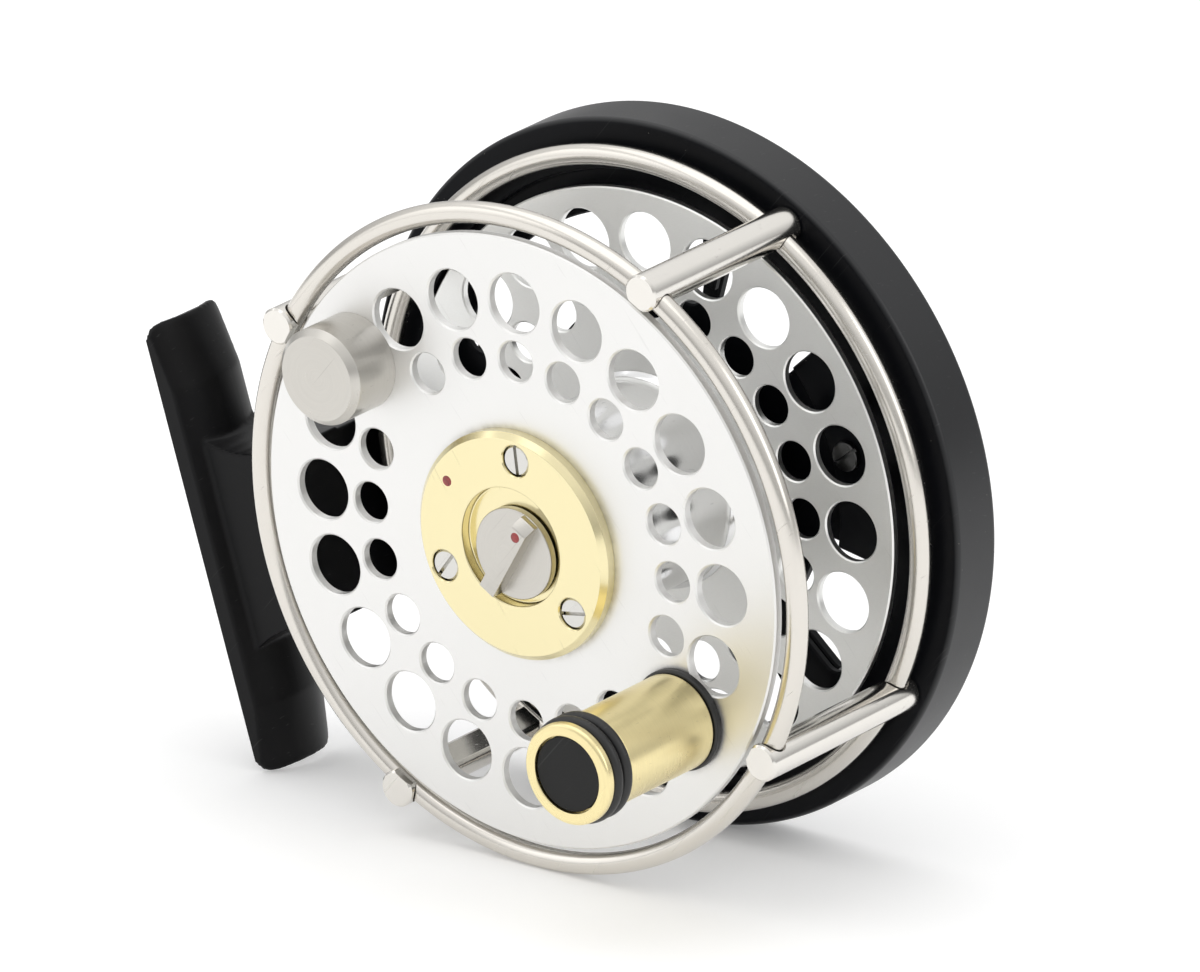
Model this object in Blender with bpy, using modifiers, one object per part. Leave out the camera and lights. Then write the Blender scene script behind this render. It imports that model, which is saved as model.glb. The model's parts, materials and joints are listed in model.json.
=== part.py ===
"""A fly reel: a perforated spool on a spindle, held between a black back frame and two wire rings.

The reel is modelled in its own frame first. There X runs away from the foot, Y runs along the spin axis
from the handle side to the back, and Z completes the frame; y = 0 is the front face of the spool. An
empty then leans the whole reel onto the three points that it stands on. Sizes are in metres.
"""

from math import acos, atan2, cos, hypot, pi, radians, sin, sqrt

import bmesh
import bpy
from mathutils import Matrix, Vector

MM = 0.001
GAP = 0.3 * MM           # left between pieces that touch on the real reel

# --- driving dimensions --------------------------------------------------------------------------

# spool
FLANGE_R = 41.9 * MM     # front flange
FLANGE_T = 1.5 * MM
REAR_FLANGE_R = 39.9 * MM
REAR_FLANGE_T = 1.2 * MM
SPOOL_W = 25.8 * MM      # between the flanges, where the line lies
DRUM_R = 14.0 * MM
DRUM_POCKET_R = 10.1 * MM    # room for the latch at the drum's front
DRUM_POCKET_DEPTH = 3.9 * MM
BEARING_R = 6.0 * MM
BEARING_W = 4.0 * MM

# perforations: two rings of holes on the same spokes, one of them taken by the handle
HOLES_ROUND = 20
HOLE_RING_R = 33.0 * MM
HOLE_R = 4.0 * MM
SMALL_RING_R = 25.0 * MM
SMALL_HOLE_R = 2.75 * MM
HANDLE_ANGLE = radians(-52.2)

# wire cage
RING_R = 44.3 * MM       # centre line of the wire
WIRE_R = 1.45 * MM
FRONT_RING_Y = 1.5 * MM
REAR_RING_Y = 27.4 * MM
PILLAR_R = 2.5 * MM
PILLAR_RING_R = 44.85 * MM
PILLAR_RELIEF_R = 42.85 * MM   # milled away inside this, clear of the spool
PILLAR_OVERHANG = 2.3 * MM   # of a pillar past the middle of the front ring
PILLARS = 4

# back frame
RIM_R = 48.5 * MM
RIM_WALL = 3.1 * MM
RIM_FRONT_Y = 29.8 * MM
RIM_DEPTH = 8.3 * MM
RIM_CHAMFER = 0.6 * MM
STEP_R = 41.5 * MM       # the web is set back inside this radius
STEP = 1.5 * MM
WEB_T = 1.2 * MM
LUG_INNER_R = 28.0 * MM
PLATE_R = 34.5 * MM
PLATE_T = 1.5 * MM
WINDOW_INNER_R = 23.5 * MM
WINDOW_OUTER_R = 35.5 * MM
WINDOW_SPANS = ((26, 57), (63, 147), (-57, -26), (-147, -72))    # degrees, each from and to
PLATE_SCREW_RING_R = 31.0 * MM
PLATE_SCREW_ANGLES = (0, 163, 197)    # degrees, on the two broad arms

# foot
FOOT_LENGTH = 62.0 * MM
FOOT_WIDTH = 14.0 * MM
FOOT_Y = 15.5 * MM
FOOT_UNDER_X = -64.0 * MM
FOOT_HEIGHT = 4.5 * MM       # at the middle of the section
FOOT_EDGE = 2.4 * MM
FOOT_END_HEIGHT = 2.9 * MM
FOOT_END_EDGE = 0.8 * MM
FOOT_HOLLOW = 2.0 * MM       # of the underside, which sits on a rod
FOOT_RAMP = 9.0 * MM
FOOT_ARC_R = 11.0 * MM
FOOT_CORNER_R = 2.2 * MM
STEM_HALF = 12.0 * MM
STEM_FLARE = 4.0 * MM
STEM_FRONT_Y = 10.5 * MM

# hub plate and release knob
HUB_R = 15.6 * MM
HUB_FRONT_Y = -2.1 * MM
HUB_BEVEL = 0.7 * MM
HUB_RECESS_R = 8.1 * MM
HUB_RECESS_DEPTH = 1.6 * MM
HUB_BOSS_R = 10.0 * MM
HUB_SCREW_RING_R = 12.2 * MM
HUB_SCREWS = 3
HUB_SCREW_START = radians(68)
KNOB_OFF = 1.0 * MM          # the knob turns about an axis below the spin axis
KNOB_R = 6.25 * MM
KNOB_STEM_R = 4.9 * MM
KNOB_BAR_HEIGHT = 2.0 * MM
KNOB_BAR_W = 2.5 * MM
KNOB_BAR_ANGLE = radians(43)
KNOB_TURN = radians(85)
PEG_R = 0.7 * MM
PEG_OFF = 3.6 * MM
LATCH_TRAVEL = 2.0 * MM
LATCH_T = 1.0 * MM
LATCH_HALF_LENGTH = 7.4 * MM
LATCH_HALF_WIDTH = 5.4 * MM

# spindle
SPINDLE_R = 3.0 * MM
SPINDLE_TIP_R = 2.1 * MM
SPINDLE_NECK_R = 1.5 * MM
SPINDLE_TIP_Y = 2.2 * MM
SPINDLE_COLLAR_R = 6.0 * MM
SPINDLE_COLLAR_T = 1.5 * MM

# handle and counterweight
HANDLE_LENGTH = 23.6 * MM
HANDLE_RING_R = 31.8 * MM
GRIP_R = 6.55 * MM
GRIP_NOSE_R = 6.9 * MM
GRIP_NOSE = 1.3 * MM
O_RING_WIRE = 0.8 * MM
O_RING_R = 6.5 * MM
CAP_R = 5.0 * MM
CAP_T = 0.7 * MM
POST_R = 2.5 * MM
POST_HEAD_R = 3.9 * MM
POST_HEAD_T = 1.8 * MM
WASHER_R = 6.9 * MM
WASHER_T = 0.9 * MM
WEIGHT_R = 6.6 * MM
WEIGHT_LENGTH = 7.8 * MM
WEIGHT_CHAMFER = 0.9 * MM

# drag
DRAG_R = 14.0 * MM
DRAG_DISC_T = 1.2 * MM
PRESSURE_T = 1.2 * MM
SPRING_R = 8.0 * MM
SPRING_T = 0.5 * MM
SPRING_RISE = 0.9 * MM
HOUSING_WALL = 2.4 * MM
HOUSING_END_T = 1.5 * MM
HOUSING_FLANGE_R = 22.0 * MM
HOUSING_FLANGE_T = 1.4 * MM
HOUSING_SCREW_RING_R = 19.4 * MM
HOUSING_SCREWS = 3
DIAL_R = 11.0 * MM
DIAL_T = 5.6 * MM
DIAL_STEM_R = 5.0 * MM
DIAL_FLUTES = 12
DIAL_FLUTE_R = 1.5 * MM

# screws
SCREW_R = 1.1 * MM
SCREW_HEAD_R = 2.0 * MM
SCREW_HEAD_T = 1.1 * MM
SLOT_W = 0.5 * MM
SLOT_DEPTH = 0.5 * MM
NUT_R = 2.2 * MM
NUT_T = 1.2 * MM

# smoothness
FINE = 72
MIDDLE = 36
COARSE = 20

# --- places along the spin axis that follow ------------------------------------------------------

REAR_FLANGE_Y = FLANGE_T + SPOOL_W
WEB_Y = RIM_FRONT_Y + STEP
PLATE_Y = WEB_Y + WEB_T + GAP
PLATE_BACK_Y = PLATE_Y + PLATE_T
RIM_BACK_Y = RIM_FRONT_Y + RIM_DEPTH
DRUM_FRONT_Y = FLANGE_T + GAP
DRUM_BACK_Y = REAR_FLANGE_Y - GAP
BORE_R = BEARING_R + GAP
HUB_SEAT_Y = -GAP
KNOB_FRONT_Y = HUB_FRONT_Y + 0.2 * MM
RECESS_Y = HUB_FRONT_Y + HUB_RECESS_DEPTH
LATCH_Y = SPINDLE_TIP_Y + 0.9 * MM
DISC_Y = PLATE_BACK_Y + GAP
PRESSURE_Y = DISC_Y + DRAG_DISC_T + GAP
SPRING_Y = PRESSURE_Y + PRESSURE_T + GAP
DIAL_STEM_Y = SPRING_Y + SPRING_RISE + SPRING_T + GAP
HOUSING_BACK_Y = DIAL_STEM_Y + 1.2 * MM + HOUSING_END_T
DIAL_Y = HOUSING_BACK_Y + GAP
CLEAR_R = SCREW_R + GAP      # of a hole that a screw passes


# --- scene ---------------------------------------------------------------------------------------

for thing in list(bpy.data.objects):
    bpy.data.objects.remove(thing, do_unlink=True)

scene = bpy.context.scene
scene.unit_settings.system = "METRIC"
scene.unit_settings.scale_length = 1.0

parts = bpy.data.collections.new("fly_reel")
cutters = bpy.data.collections.new("cutters")
for group in (parts, cutters):
    scene.collection.children.link(group)


def material(name, colour, roughness, metallic):
    made = bpy.data.materials.new(name)
    made.use_nodes = True
    shader = made.node_tree.nodes["Principled BSDF"]
    shader.inputs["Base Color"].default_value = (*colour, 1.0)
    shader.inputs["Roughness"].default_value = roughness
    shader.inputs["Metallic"].default_value = metallic
    return made


ALUMINIUM = material("aluminium", (0.82, 0.83, 0.84), 0.35, 1.0)
STEEL = material("steel", (0.62, 0.60, 0.57), 0.3, 1.0)
BRASS = material("brass", (0.88, 0.72, 0.36), 0.28, 1.0)
BLACK = material("black_anodised", (0.02, 0.021, 0.024), 0.35, 0.4)
RUBBER = material("rubber", (0.015, 0.015, 0.015), 0.6, 0.0)
CORK = material("drag_disc", (0.35, 0.25, 0.16), 0.8, 0.0)


# --- bodies --------------------------------------------------------------------------------------


def polar(radius, angle):
    """The point (x, z) of the reel's plane at this radius and angle, counted from +X towards +Z."""
    return radius * cos(angle), radius * sin(angle)


HANDLE_X, HANDLE_Z = polar(HANDLE_RING_R, HANDLE_ANGLE)
WEIGHT_X, WEIGHT_Z = polar(HOLE_RING_R, HANDLE_ANGLE + pi)


def empty(name, place=(0, 0, 0), parent=None):
    made = bpy.data.objects.new(name, None)
    made.empty_display_size = 0.01
    made.location = place
    made.parent = parent
    parts.objects.link(made)
    return made


reel = empty("reel")
frame_body = empty("frame_body", parent=reel)
spool_body = empty("spool_body", parent=reel)
handle_body = empty("handle_body", (HANDLE_X, 0, HANDLE_Z), spool_body)
release_body = empty("release_body", (0, 0, -KNOB_OFF), spool_body)
latch_body = empty("latch_body", parent=spool_body)
spindle_body = empty("spindle_body", parent=reel)
dial_body = empty("dial_body", parent=reel)


# --- shapes --------------------------------------------------------------------------------------


def add(name, mesh, body, finish=None, place=(0, 0, 0), turn=(0, 0, 0)):
    """A new object of this mesh, at a place in its body. Without a finish it is a cutter."""
    made = bpy.data.objects.new(name, mesh)
    made.parent = body
    made.location = place
    made.rotation_euler = turn
    if finish:
        parts.objects.link(made)
        mesh.materials.append(finish)
    else:
        cutters.objects.link(made)
        made.hide_render = True
        made.display_type = "WIRE"
    return made


ALONG_Y = (-pi / 2, 0, 0)        # turns a piece made along Z onto the spin axis
ALONG_X = (0, pi / 2, 0)


def smooth(mesh):
    mesh.shade_smooth()
    mesh.set_sharp_from_angle(angle=radians(35))


def turned(name, profile, body, finish=None, steps=MIDDLE, place=(0, 0, 0), turn=ALONG_Y):
    """A lathe piece. The profile is (radius, y) down the outer side, and closes on itself or on the axis."""
    mesh = bpy.data.meshes.new(name)
    points = [(radius, 0, along) for radius, along in profile]
    on_axis = profile[0][0] == 0 and profile[-1][0] == 0
    edges = [(i, i + 1) for i in range(len(points) - 1)]
    if not on_axis:
        edges.append((len(points) - 1, 0))
    mesh.from_pydata(points, edges, [])
    made = add(name, mesh, body, finish, place, turn)
    screw = made.modifiers.new("Turn", "SCREW")
    screw.axis = "Z"
    screw.steps = steps
    screw.render_steps = steps
    screw.use_merge_vertices = True
    screw.merge_threshold = 0.00001
    screw.use_smooth_shade = True
    return made


def tube(name, inner, outer, start, end, body, finish, steps=MIDDLE, place=(0, 0, 0)):
    profile = [(outer, end), (outer, start), (inner, start), (inner, end)]
    return turned(name, profile, body, finish, steps, place)


def torus(name, major, minor, along, body, finish=None, place=(0, 0, 0), steps=FINE, around=8):
    """A wire ring round the spin axis."""
    profile = [
        (major + minor * cos(-2 * pi * k / around), along + minor * sin(-2 * pi * k / around))
        for k in range(around)
    ]
    return turned(name, profile, body, finish, steps, place)


def rods(name, list_of_rods, body, steps=COARSE):
    """A cutter of separate cylinders along the spin axis, each (x, z, radius, start, end)."""
    mesh = bpy.data.meshes.new(name)
    made = bmesh.new()
    for x, z, radius, start, end in list_of_rods:
        where = Matrix.Translation((x, (start + end) / 2, z)) @ Matrix.Rotation(pi / 2, 4, "X")
        bmesh.ops.create_cone(
            made, cap_ends=True, segments=steps, radius1=radius, radius2=radius,
            depth=end - start, matrix=where,
        )
    made.to_mesh(mesh)
    made.free()
    return add(name, mesh, body)


def block(name, low, high, body, finish=None, place=(0, 0, 0), turn=(0, 0, 0)):
    """A box between two corners."""
    mesh = bpy.data.meshes.new(name)
    made = bmesh.new()
    bmesh.ops.create_cube(made, size=1.0)
    size = Vector(high) - Vector(low)
    centre = (Vector(high) + Vector(low)) / 2
    bmesh.ops.scale(made, vec=size, verts=made.verts)
    bmesh.ops.translate(made, vec=centre, verts=made.verts)
    made.to_mesh(mesh)
    made.free()
    return add(name, mesh, body, finish, place, turn)


def slab(name, outline, start, end, body, finish=None, place=(0, 0, 0), turn=(0, 0, 0)):
    """A flat outline in the (x, z) plane, made solid from start to end along the spin axis."""
    curve = bpy.data.curves.new(name, "CURVE")
    curve.dimensions = "2D"
    curve.fill_mode = "BOTH"
    curve.extrude = (end - start) / 2
    line = curve.splines.new("POLY")
    line.points.add(len(outline) - 1)
    for point, (x, z) in zip(line.points, outline):
        point.co = (x, z, 0, 1)
    line.use_cyclic_u = True
    guide = bpy.data.objects.new(name + "_outline", curve)
    scene.collection.objects.link(guide)
    graph = bpy.context.evaluated_depsgraph_get()
    mesh = bpy.data.meshes.new_from_object(guide.evaluated_get(graph), depsgraph=graph)
    bpy.data.objects.remove(guide, do_unlink=True)
    bpy.data.curves.remove(curve)
    mesh.transform(Matrix.Translation((0, (start + end) / 2, 0)) @ Matrix.Rotation(pi / 2, 4, "X"))
    made = bmesh.new()
    made.from_mesh(mesh)
    bmesh.ops.remove_doubles(made, verts=made.verts, dist=0.000001)
    bmesh.ops.recalc_face_normals(made, faces=made.faces)
    made.to_mesh(mesh)
    made.free()
    mesh.name = name
    return add(name, mesh, body, finish, place, turn)


def boolean(target, other, operation="DIFFERENCE"):
    step = target.modifiers.new(operation.title(), "BOOLEAN")
    step.operation = operation
    step.object = other
    step.solver = "EXACT"


def arc(radius, start, end, count, centre=(0, 0)):
    """Points on an arc, both ends included."""
    step = (end - start) / (count - 1)
    return [
        (centre[0] + radius * cos(start + k * step), centre[1] + radius * sin(start + k * step))
        for k in range(count)
    ]


# --- screws --------------------------------------------------------------------------------------


def screw(name, place, body, length, turn=ALONG_Y, slot=0.0, head_r=SCREW_HEAD_R, head_t=SCREW_HEAD_T):
    """A slotted screw. Its head stands on the place, and its shank runs along the local +Z by length."""
    profile = [
        (0, length), (SCREW_R, length), (SCREW_R, 0), (head_r, 0), (head_r, -head_t), (0, -head_t),
    ]
    made = turned(name, profile, body, STEEL, COARSE, place, turn)
    half = head_r + GAP
    low = (-half, -SLOT_W / 2, -head_t - GAP)
    high = (half, SLOT_W / 2, -head_t + SLOT_DEPTH)
    groove = block(name + "_slot", low, high, made, turn=(0, 0, slot))
    boolean(made, groove)
    return made


# --- wire cage -----------------------------------------------------------------------------------


def pillar_angle(k):
    return pi / 4 + k * 2 * pi / PILLARS


def build_cage():
    front = torus("front_ring", RING_R, WIRE_R, FRONT_RING_Y, frame_body, STEEL)
    rear = torus("rear_ring", RING_R, WIRE_R, REAR_RING_Y, frame_body, STEEL)
    passage = [
        torus(ring.name + "_passage", RING_R, WIRE_R + 0.2 * MM, along, frame_body, around=12)
        for ring, along in ((front, FRONT_RING_Y), (rear, REAR_RING_Y))
    ]
    start = FRONT_RING_Y - PILLAR_OVERHANG
    end = RIM_FRONT_Y - GAP
    nut_y = WEB_Y + WEB_T + GAP
    stud_end = nut_y + NUT_T + 0.4 * MM
    edge = 0.25 * MM
    relief = turned(
        "pillar_relief",
        [
            (0, end + GAP), (PILLAR_RELIEF_R, end + GAP), (PILLAR_RELIEF_R, start - GAP),
            (0, start - GAP),
        ],
        frame_body, None, 144,
    )
    for k in range(PILLARS):
        x, z = polar(PILLAR_RING_R, pillar_angle(k))
        profile = [
            (0, stud_end), (SCREW_R, stud_end), (SCREW_R, end), (PILLAR_R, end),
            (PILLAR_R, start + edge), (PILLAR_R - edge, start), (0, start),
        ]
        pillar = turned(f"pillar_{k + 1}", profile, frame_body, STEEL, COARSE, (x, 0, z))
        for cutter in (*passage, relief):
            boolean(pillar, cutter)
        tube(
            f"pillar_nut_{k + 1}", CLEAR_R, NUT_R, nut_y, nut_y + NUT_T, frame_body, STEEL, 6,
            (x, 0, z),
        )


# --- back frame ----------------------------------------------------------------------------------


def window_outline(start, end):
    start, end = radians(start), radians(end)
    outer = arc(WINDOW_OUTER_R, start, end, 13)
    inner = arc(WINDOW_INNER_R, end, start, 9)
    return outer + inner


def plate_screw_place(k):
    return polar(PLATE_SCREW_RING_R, radians(PLATE_SCREW_ANGLES[k]))


def housing_screw_place(k):
    return polar(HOUSING_SCREW_RING_R, pi / 3 + k * 2 * pi / HOUSING_SCREWS)


def build_back():
    edge = RIM_CHAMFER
    rim = turned(
        "frame_rim",
        [
            (RIM_R - edge, RIM_BACK_Y), (RIM_R, RIM_BACK_Y - edge),
            (RIM_R, RIM_FRONT_Y + edge), (RIM_R - edge, RIM_FRONT_Y),
            (STEP_R, RIM_FRONT_Y), (STEP_R, WEB_Y),
            (LUG_INNER_R, WEB_Y), (LUG_INNER_R, WEB_Y + WEB_T),
            (RIM_R - RIM_WALL, WEB_Y + WEB_T), (RIM_R - RIM_WALL, RIM_BACK_Y),
        ],
        frame_body, BLACK, FINE,
    )
    plate = tube(
        "back_plate", SPINDLE_R + GAP, PLATE_R, PLATE_Y, PLATE_BACK_Y, frame_body, BLACK, FINE
    )
    for k, span in enumerate(WINDOW_SPANS):
        hole = slab(
            f"window_{k + 1}", window_outline(*span), WEB_Y - 2 * STEP, PLATE_BACK_Y + STEP, frame_body
        )
        boolean(rim, hole)
        boolean(plate, hole)
    seat_y = WEB_Y + WEB_T - GAP / 2
    pillar_holes = [
        (*polar(PILLAR_RING_R, pillar_angle(k)), CLEAR_R, RIM_FRONT_Y - GAP, WEB_Y + WEB_T + GAP)
        for k in range(PILLARS)
    ]
    plate_holes = [
        (*plate_screw_place(k), CLEAR_R, WEB_Y - GAP, PLATE_BACK_Y + GAP)
        for k in range(len(PLATE_SCREW_ANGLES))
    ]
    housing_holes = [
        (*housing_screw_place(k), CLEAR_R, PLATE_Y - GAP, PLATE_BACK_Y + GAP)
        for k in range(HOUSING_SCREWS)
    ]
    nut_seats = [
        (*polar(PILLAR_RING_R, pillar_angle(k)), NUT_R + GAP, seat_y, seat_y + NUT_T + 4 * GAP)
        for k in range(PILLARS)
    ]
    boolean(rim, rods("rim_screw_holes", pillar_holes + plate_holes, frame_body, 12))
    boolean(rim, rods("nut_seats", nut_seats, frame_body, COARSE))
    boolean(plate, rods("plate_screw_holes", plate_holes + housing_holes, frame_body, 12))
    for k in range(len(PLATE_SCREW_ANGLES)):
        x, z = plate_screw_place(k)
        screw(
            f"plate_screw_{k + 1}", (x, WEB_Y - GAP, z), frame_body,
            PLATE_BACK_Y - WEB_Y + GAP, slot=0.5 + k, head_t=0.7 * MM,
        )
    return rim


# --- foot ----------------------------------------------------------------------------------------


def foot_section(height, edge, count=9):
    """(y, x) round the foot: over the curved back that faces the reel, then under, round the hollow."""
    half = FOOT_WIDTH / 2
    drop = FOOT_ARC_R - sqrt(FOOT_ARC_R**2 - half**2)
    spread = [-half + FOOT_WIDTH * k / (count - 1) for k in range(count)]
    crown = [(sqrt(FOOT_ARC_R**2 - y**2) - FOOT_ARC_R + drop) / drop for y in spread]
    back = [(y, edge + (height - edge) * share) for y, share in zip(spread, crown)]
    under = [(y, FOOT_HOLLOW * share) for y, share in zip(spread, crown)]
    return back + under[::-1]


def build_foot(rim):
    ends = FOOT_LENGTH / 2
    stations = [
        (-ends, FOOT_END_HEIGHT, FOOT_END_EDGE), (-ends + FOOT_RAMP, FOOT_HEIGHT, FOOT_EDGE),
        (ends - FOOT_RAMP, FOOT_HEIGHT, FOOT_EDGE), (ends, FOOT_END_HEIGHT, FOOT_END_EDGE),
    ]
    made = bmesh.new()
    loops = []
    for z, height, edge in stations:
        loops.append([
            made.verts.new((FOOT_UNDER_X + x, FOOT_Y + y, z)) for y, x in foot_section(height, edge)
        ])
    count = len(loops[0])
    for below, above in zip(loops, loops[1:]):
        for k in range(count):
            after = (k + 1) % count
            made.faces.new((below[k], below[after], above[after], above[k]))
    made.faces.new(loops[0])
    made.faces.new(loops[-1])
    bmesh.ops.recalc_face_normals(made, faces=made.faces)
    mesh = bpy.data.meshes.new("reel_foot")
    made.to_mesh(mesh)
    made.free()
    foot = add("reel_foot", mesh, frame_body, BLACK)

    # the plan of the foot, seen along X, has round corners
    r = FOOT_CORNER_R
    y_half = FOOT_WIDTH / 2 + GAP
    corners = [
        (y_half - r, ends - r, 0), (r - y_half, ends - r, pi / 2),
        (r - y_half, r - ends, pi), (y_half - r, r - ends, 3 * pi / 2),
    ]
    plan = [point for y, z, start in corners for point in arc(r, start, start + pi / 2, 5, (y, z))]
    keep = slab(
        "foot_plan", plan, FOOT_UNDER_X - r, FOOT_UNDER_X + FOOT_HEIGHT + r, frame_body,
        place=(0, FOOT_Y, 0), turn=(0, 0, -pi / 2),
    )
    boolean(foot, keep, "INTERSECT")

    # the stem, flared where it meets the foot, and hollowed to sit round the rim
    sink = 1.2 * MM
    root = FOOT_UNDER_X + FOOT_HEIGHT - FOOT_HOLLOW - sink
    top = -RIM_R * 0.9
    flare = [
        (root + (top - root) * share, STEM_HALF + STEM_FLARE * (1 - share / 0.55) ** 2)
        for share in (0, 0.15, 0.3, 0.45, 0.55)
    ]
    side = flare + [(top, STEM_HALF)]
    outline = side + [(x, -z) for x, z in side[::-1]]
    stem_near = slab("stem", outline, STEM_FRONT_Y, FOOT_Y + FOOT_WIDTH / 2 - GAP, frame_body)
    boolean(foot, stem_near, "UNION")
    arm_low = (FOOT_UNDER_X + FOOT_HEIGHT - FOOT_HOLLOW, FOOT_Y, -STEM_HALF + GAP)
    arm = block("stem_arm", arm_low, (top, RIM_BACK_Y, STEM_HALF - GAP), frame_body)
    boolean(foot, arm, "UNION")
    # the arm's back slopes from the foot to the rim
    outside = FOOT_UNDER_X - FOOT_HEIGHT
    slope = [
        (outside, FOOT_Y + FOOT_WIDTH / 2 + GAP), (-RIM_R - FOOT_HEIGHT, RIM_BACK_Y + GAP / 2),
        (-RIM_R - FOOT_HEIGHT, RIM_BACK_Y + FOOT_WIDTH), (outside, RIM_BACK_Y + FOOT_WIDTH),
    ]
    wedge = slab(
        "arm_slope", slope, -STEM_HALF - STEM_FLARE, STEM_HALF + STEM_FLARE, frame_body,
        turn=(-pi / 2, 0, 0),
    )
    boolean(foot, wedge)
    seat = turned(
        "stem_seat",
        [(0, RIM_BACK_Y + GAP), (RIM_R + GAP, RIM_BACK_Y + GAP), (RIM_R + GAP, 0), (0, 0)],
        frame_body, None, 144,
    )
    boolean(foot, seat)

    # two screws through the rim's wall hold the stem
    inside = -sqrt((RIM_R - RIM_WALL) ** 2 - (STEM_HALF / 2) ** 2) + 2 * GAP
    along = (WEB_Y + WEB_T + RIM_BACK_Y) / 2
    length = 9.0 * MM
    for k, z in enumerate((-STEM_HALF / 2, STEM_HALF / 2)):
        hole = turned(
            f"foot_screw_hole_{k + 1}",
            [(0, length + GAP), (CLEAR_R, length + GAP), (CLEAR_R, -GAP), (0, -GAP)],
            frame_body, None, 12, (inside, along, z), (0, -pi / 2, 0),
        )
        boolean(rim, hole)
        boolean(foot, hole)
        screw(f"foot_screw_{k + 1}", (inside, along, z), frame_body, length, turn=(0, -pi / 2, 0))


# --- spool ---------------------------------------------------------------------------------------


def hole_angle(k):
    return HANDLE_ANGLE + k * 2 * pi / HOLES_ROUND


def perforations(name, start, end, left_out):
    big = [
        (*polar(HOLE_RING_R, hole_angle(k)), HOLE_R, start, end)
        for k in range(HOLES_ROUND) if k not in left_out
    ]
    small = [
        (*polar(SMALL_RING_R, hole_angle(k)), SMALL_HOLE_R, start, end)
        for k in range(HOLES_ROUND) if k not in left_out
    ]
    return rods(name + "_large", big, spool_body, 16), rods(name + "_small", small, spool_body, 12)


def hub_screw_place(k, turn=0.0):
    return polar(HUB_SCREW_RING_R, HUB_SCREW_START + turn + k * 2 * pi / HUB_SCREWS)


def build_spool():
    front = tube(
        "spool_front_flange", HUB_BOSS_R + GAP, FLANGE_R, 0, FLANGE_T, spool_body, ALUMINIUM, FINE
    )
    rear = tube(
        "spool_rear_flange", SPINDLE_COLLAR_R + 3 * GAP, REAR_FLANGE_R, REAR_FLANGE_Y,
        REAR_FLANGE_Y + REAR_FLANGE_T, spool_body, ALUMINIUM, FINE,
    )
    handle_side = (0, HOLES_ROUND // 2)
    for cutter in perforations("front_holes", -GAP, FLANGE_T + GAP, handle_side):
        boolean(front, cutter)
    for cutter in perforations("rear_holes", REAR_FLANGE_Y - GAP, REAR_FLANGE_Y + REAR_FLANGE_T + GAP, ()):
        boolean(rear, cutter)

    pocket_y = DRUM_FRONT_Y + DRUM_POCKET_DEPTH
    drum = turned(
        "spool_drum",
        [
            (DRUM_R, DRUM_BACK_Y), (DRUM_R, DRUM_FRONT_Y), (DRUM_POCKET_R, DRUM_FRONT_Y),
            (DRUM_POCKET_R, pocket_y), (BORE_R, pocket_y), (BORE_R, DRUM_BACK_Y),
        ],
        spool_body, ALUMINIUM, MIDDLE,
    )
    depth = 6.0 * MM
    front_taps = [
        (*hub_screw_place(k), CLEAR_R, -GAP, DRUM_FRONT_Y + depth) for k in range(HUB_SCREWS)
    ]
    rear_ring_r = (DRUM_R + BORE_R) / 2
    rear_places = [polar(rear_ring_r, HUB_SCREW_START + k * 2 * pi / HUB_SCREWS) for k in range(HUB_SCREWS)]
    back_y = REAR_FLANGE_Y + REAR_FLANGE_T
    rear_taps = [(x, z, CLEAR_R, DRUM_BACK_Y - depth, back_y + GAP) for x, z in rear_places]
    front_cut = rods("front_taps", front_taps, spool_body, 12)
    rear_cut = rods("rear_taps", rear_taps, spool_body, 12)
    fixings = rods(
        "handle_taps",
        [(x, z, CLEAR_R, -GAP, FLANGE_T + GAP) for x, z in ((HANDLE_X, HANDLE_Z), (WEIGHT_X, WEIGHT_Z))],
        spool_body, 12,
    )
    boolean(front, front_cut)
    boolean(front, fixings)
    boolean(drum, front_cut)
    boolean(drum, rear_cut)
    boolean(rear, rear_cut)
    for k, (x, z) in enumerate(rear_places):
        length = back_y + GAP - DRUM_BACK_Y + depth - GAP
        screw(
            f"drum_screw_{k + 1}", (x, back_y + GAP, z), spool_body, length,
            turn=(pi / 2, 0, 0), slot=k, head_t=0.8 * MM,
        )

    inner = SPINDLE_R + GAP
    first = pocket_y + GAP
    last = DRUM_BACK_Y - BEARING_W
    tube("front_bearing", inner, BEARING_R, first, first + BEARING_W, spool_body, STEEL, COARSE)
    tube("rear_bearing", inner, BEARING_R, last, last + BEARING_W, spool_body, STEEL, COARSE)
    tube(
        "bearing_spacer", inner, BEARING_R - GAP, first + BEARING_W + GAP, last - GAP, spool_body,
        ALUMINIUM, COARSE,
    )


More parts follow.
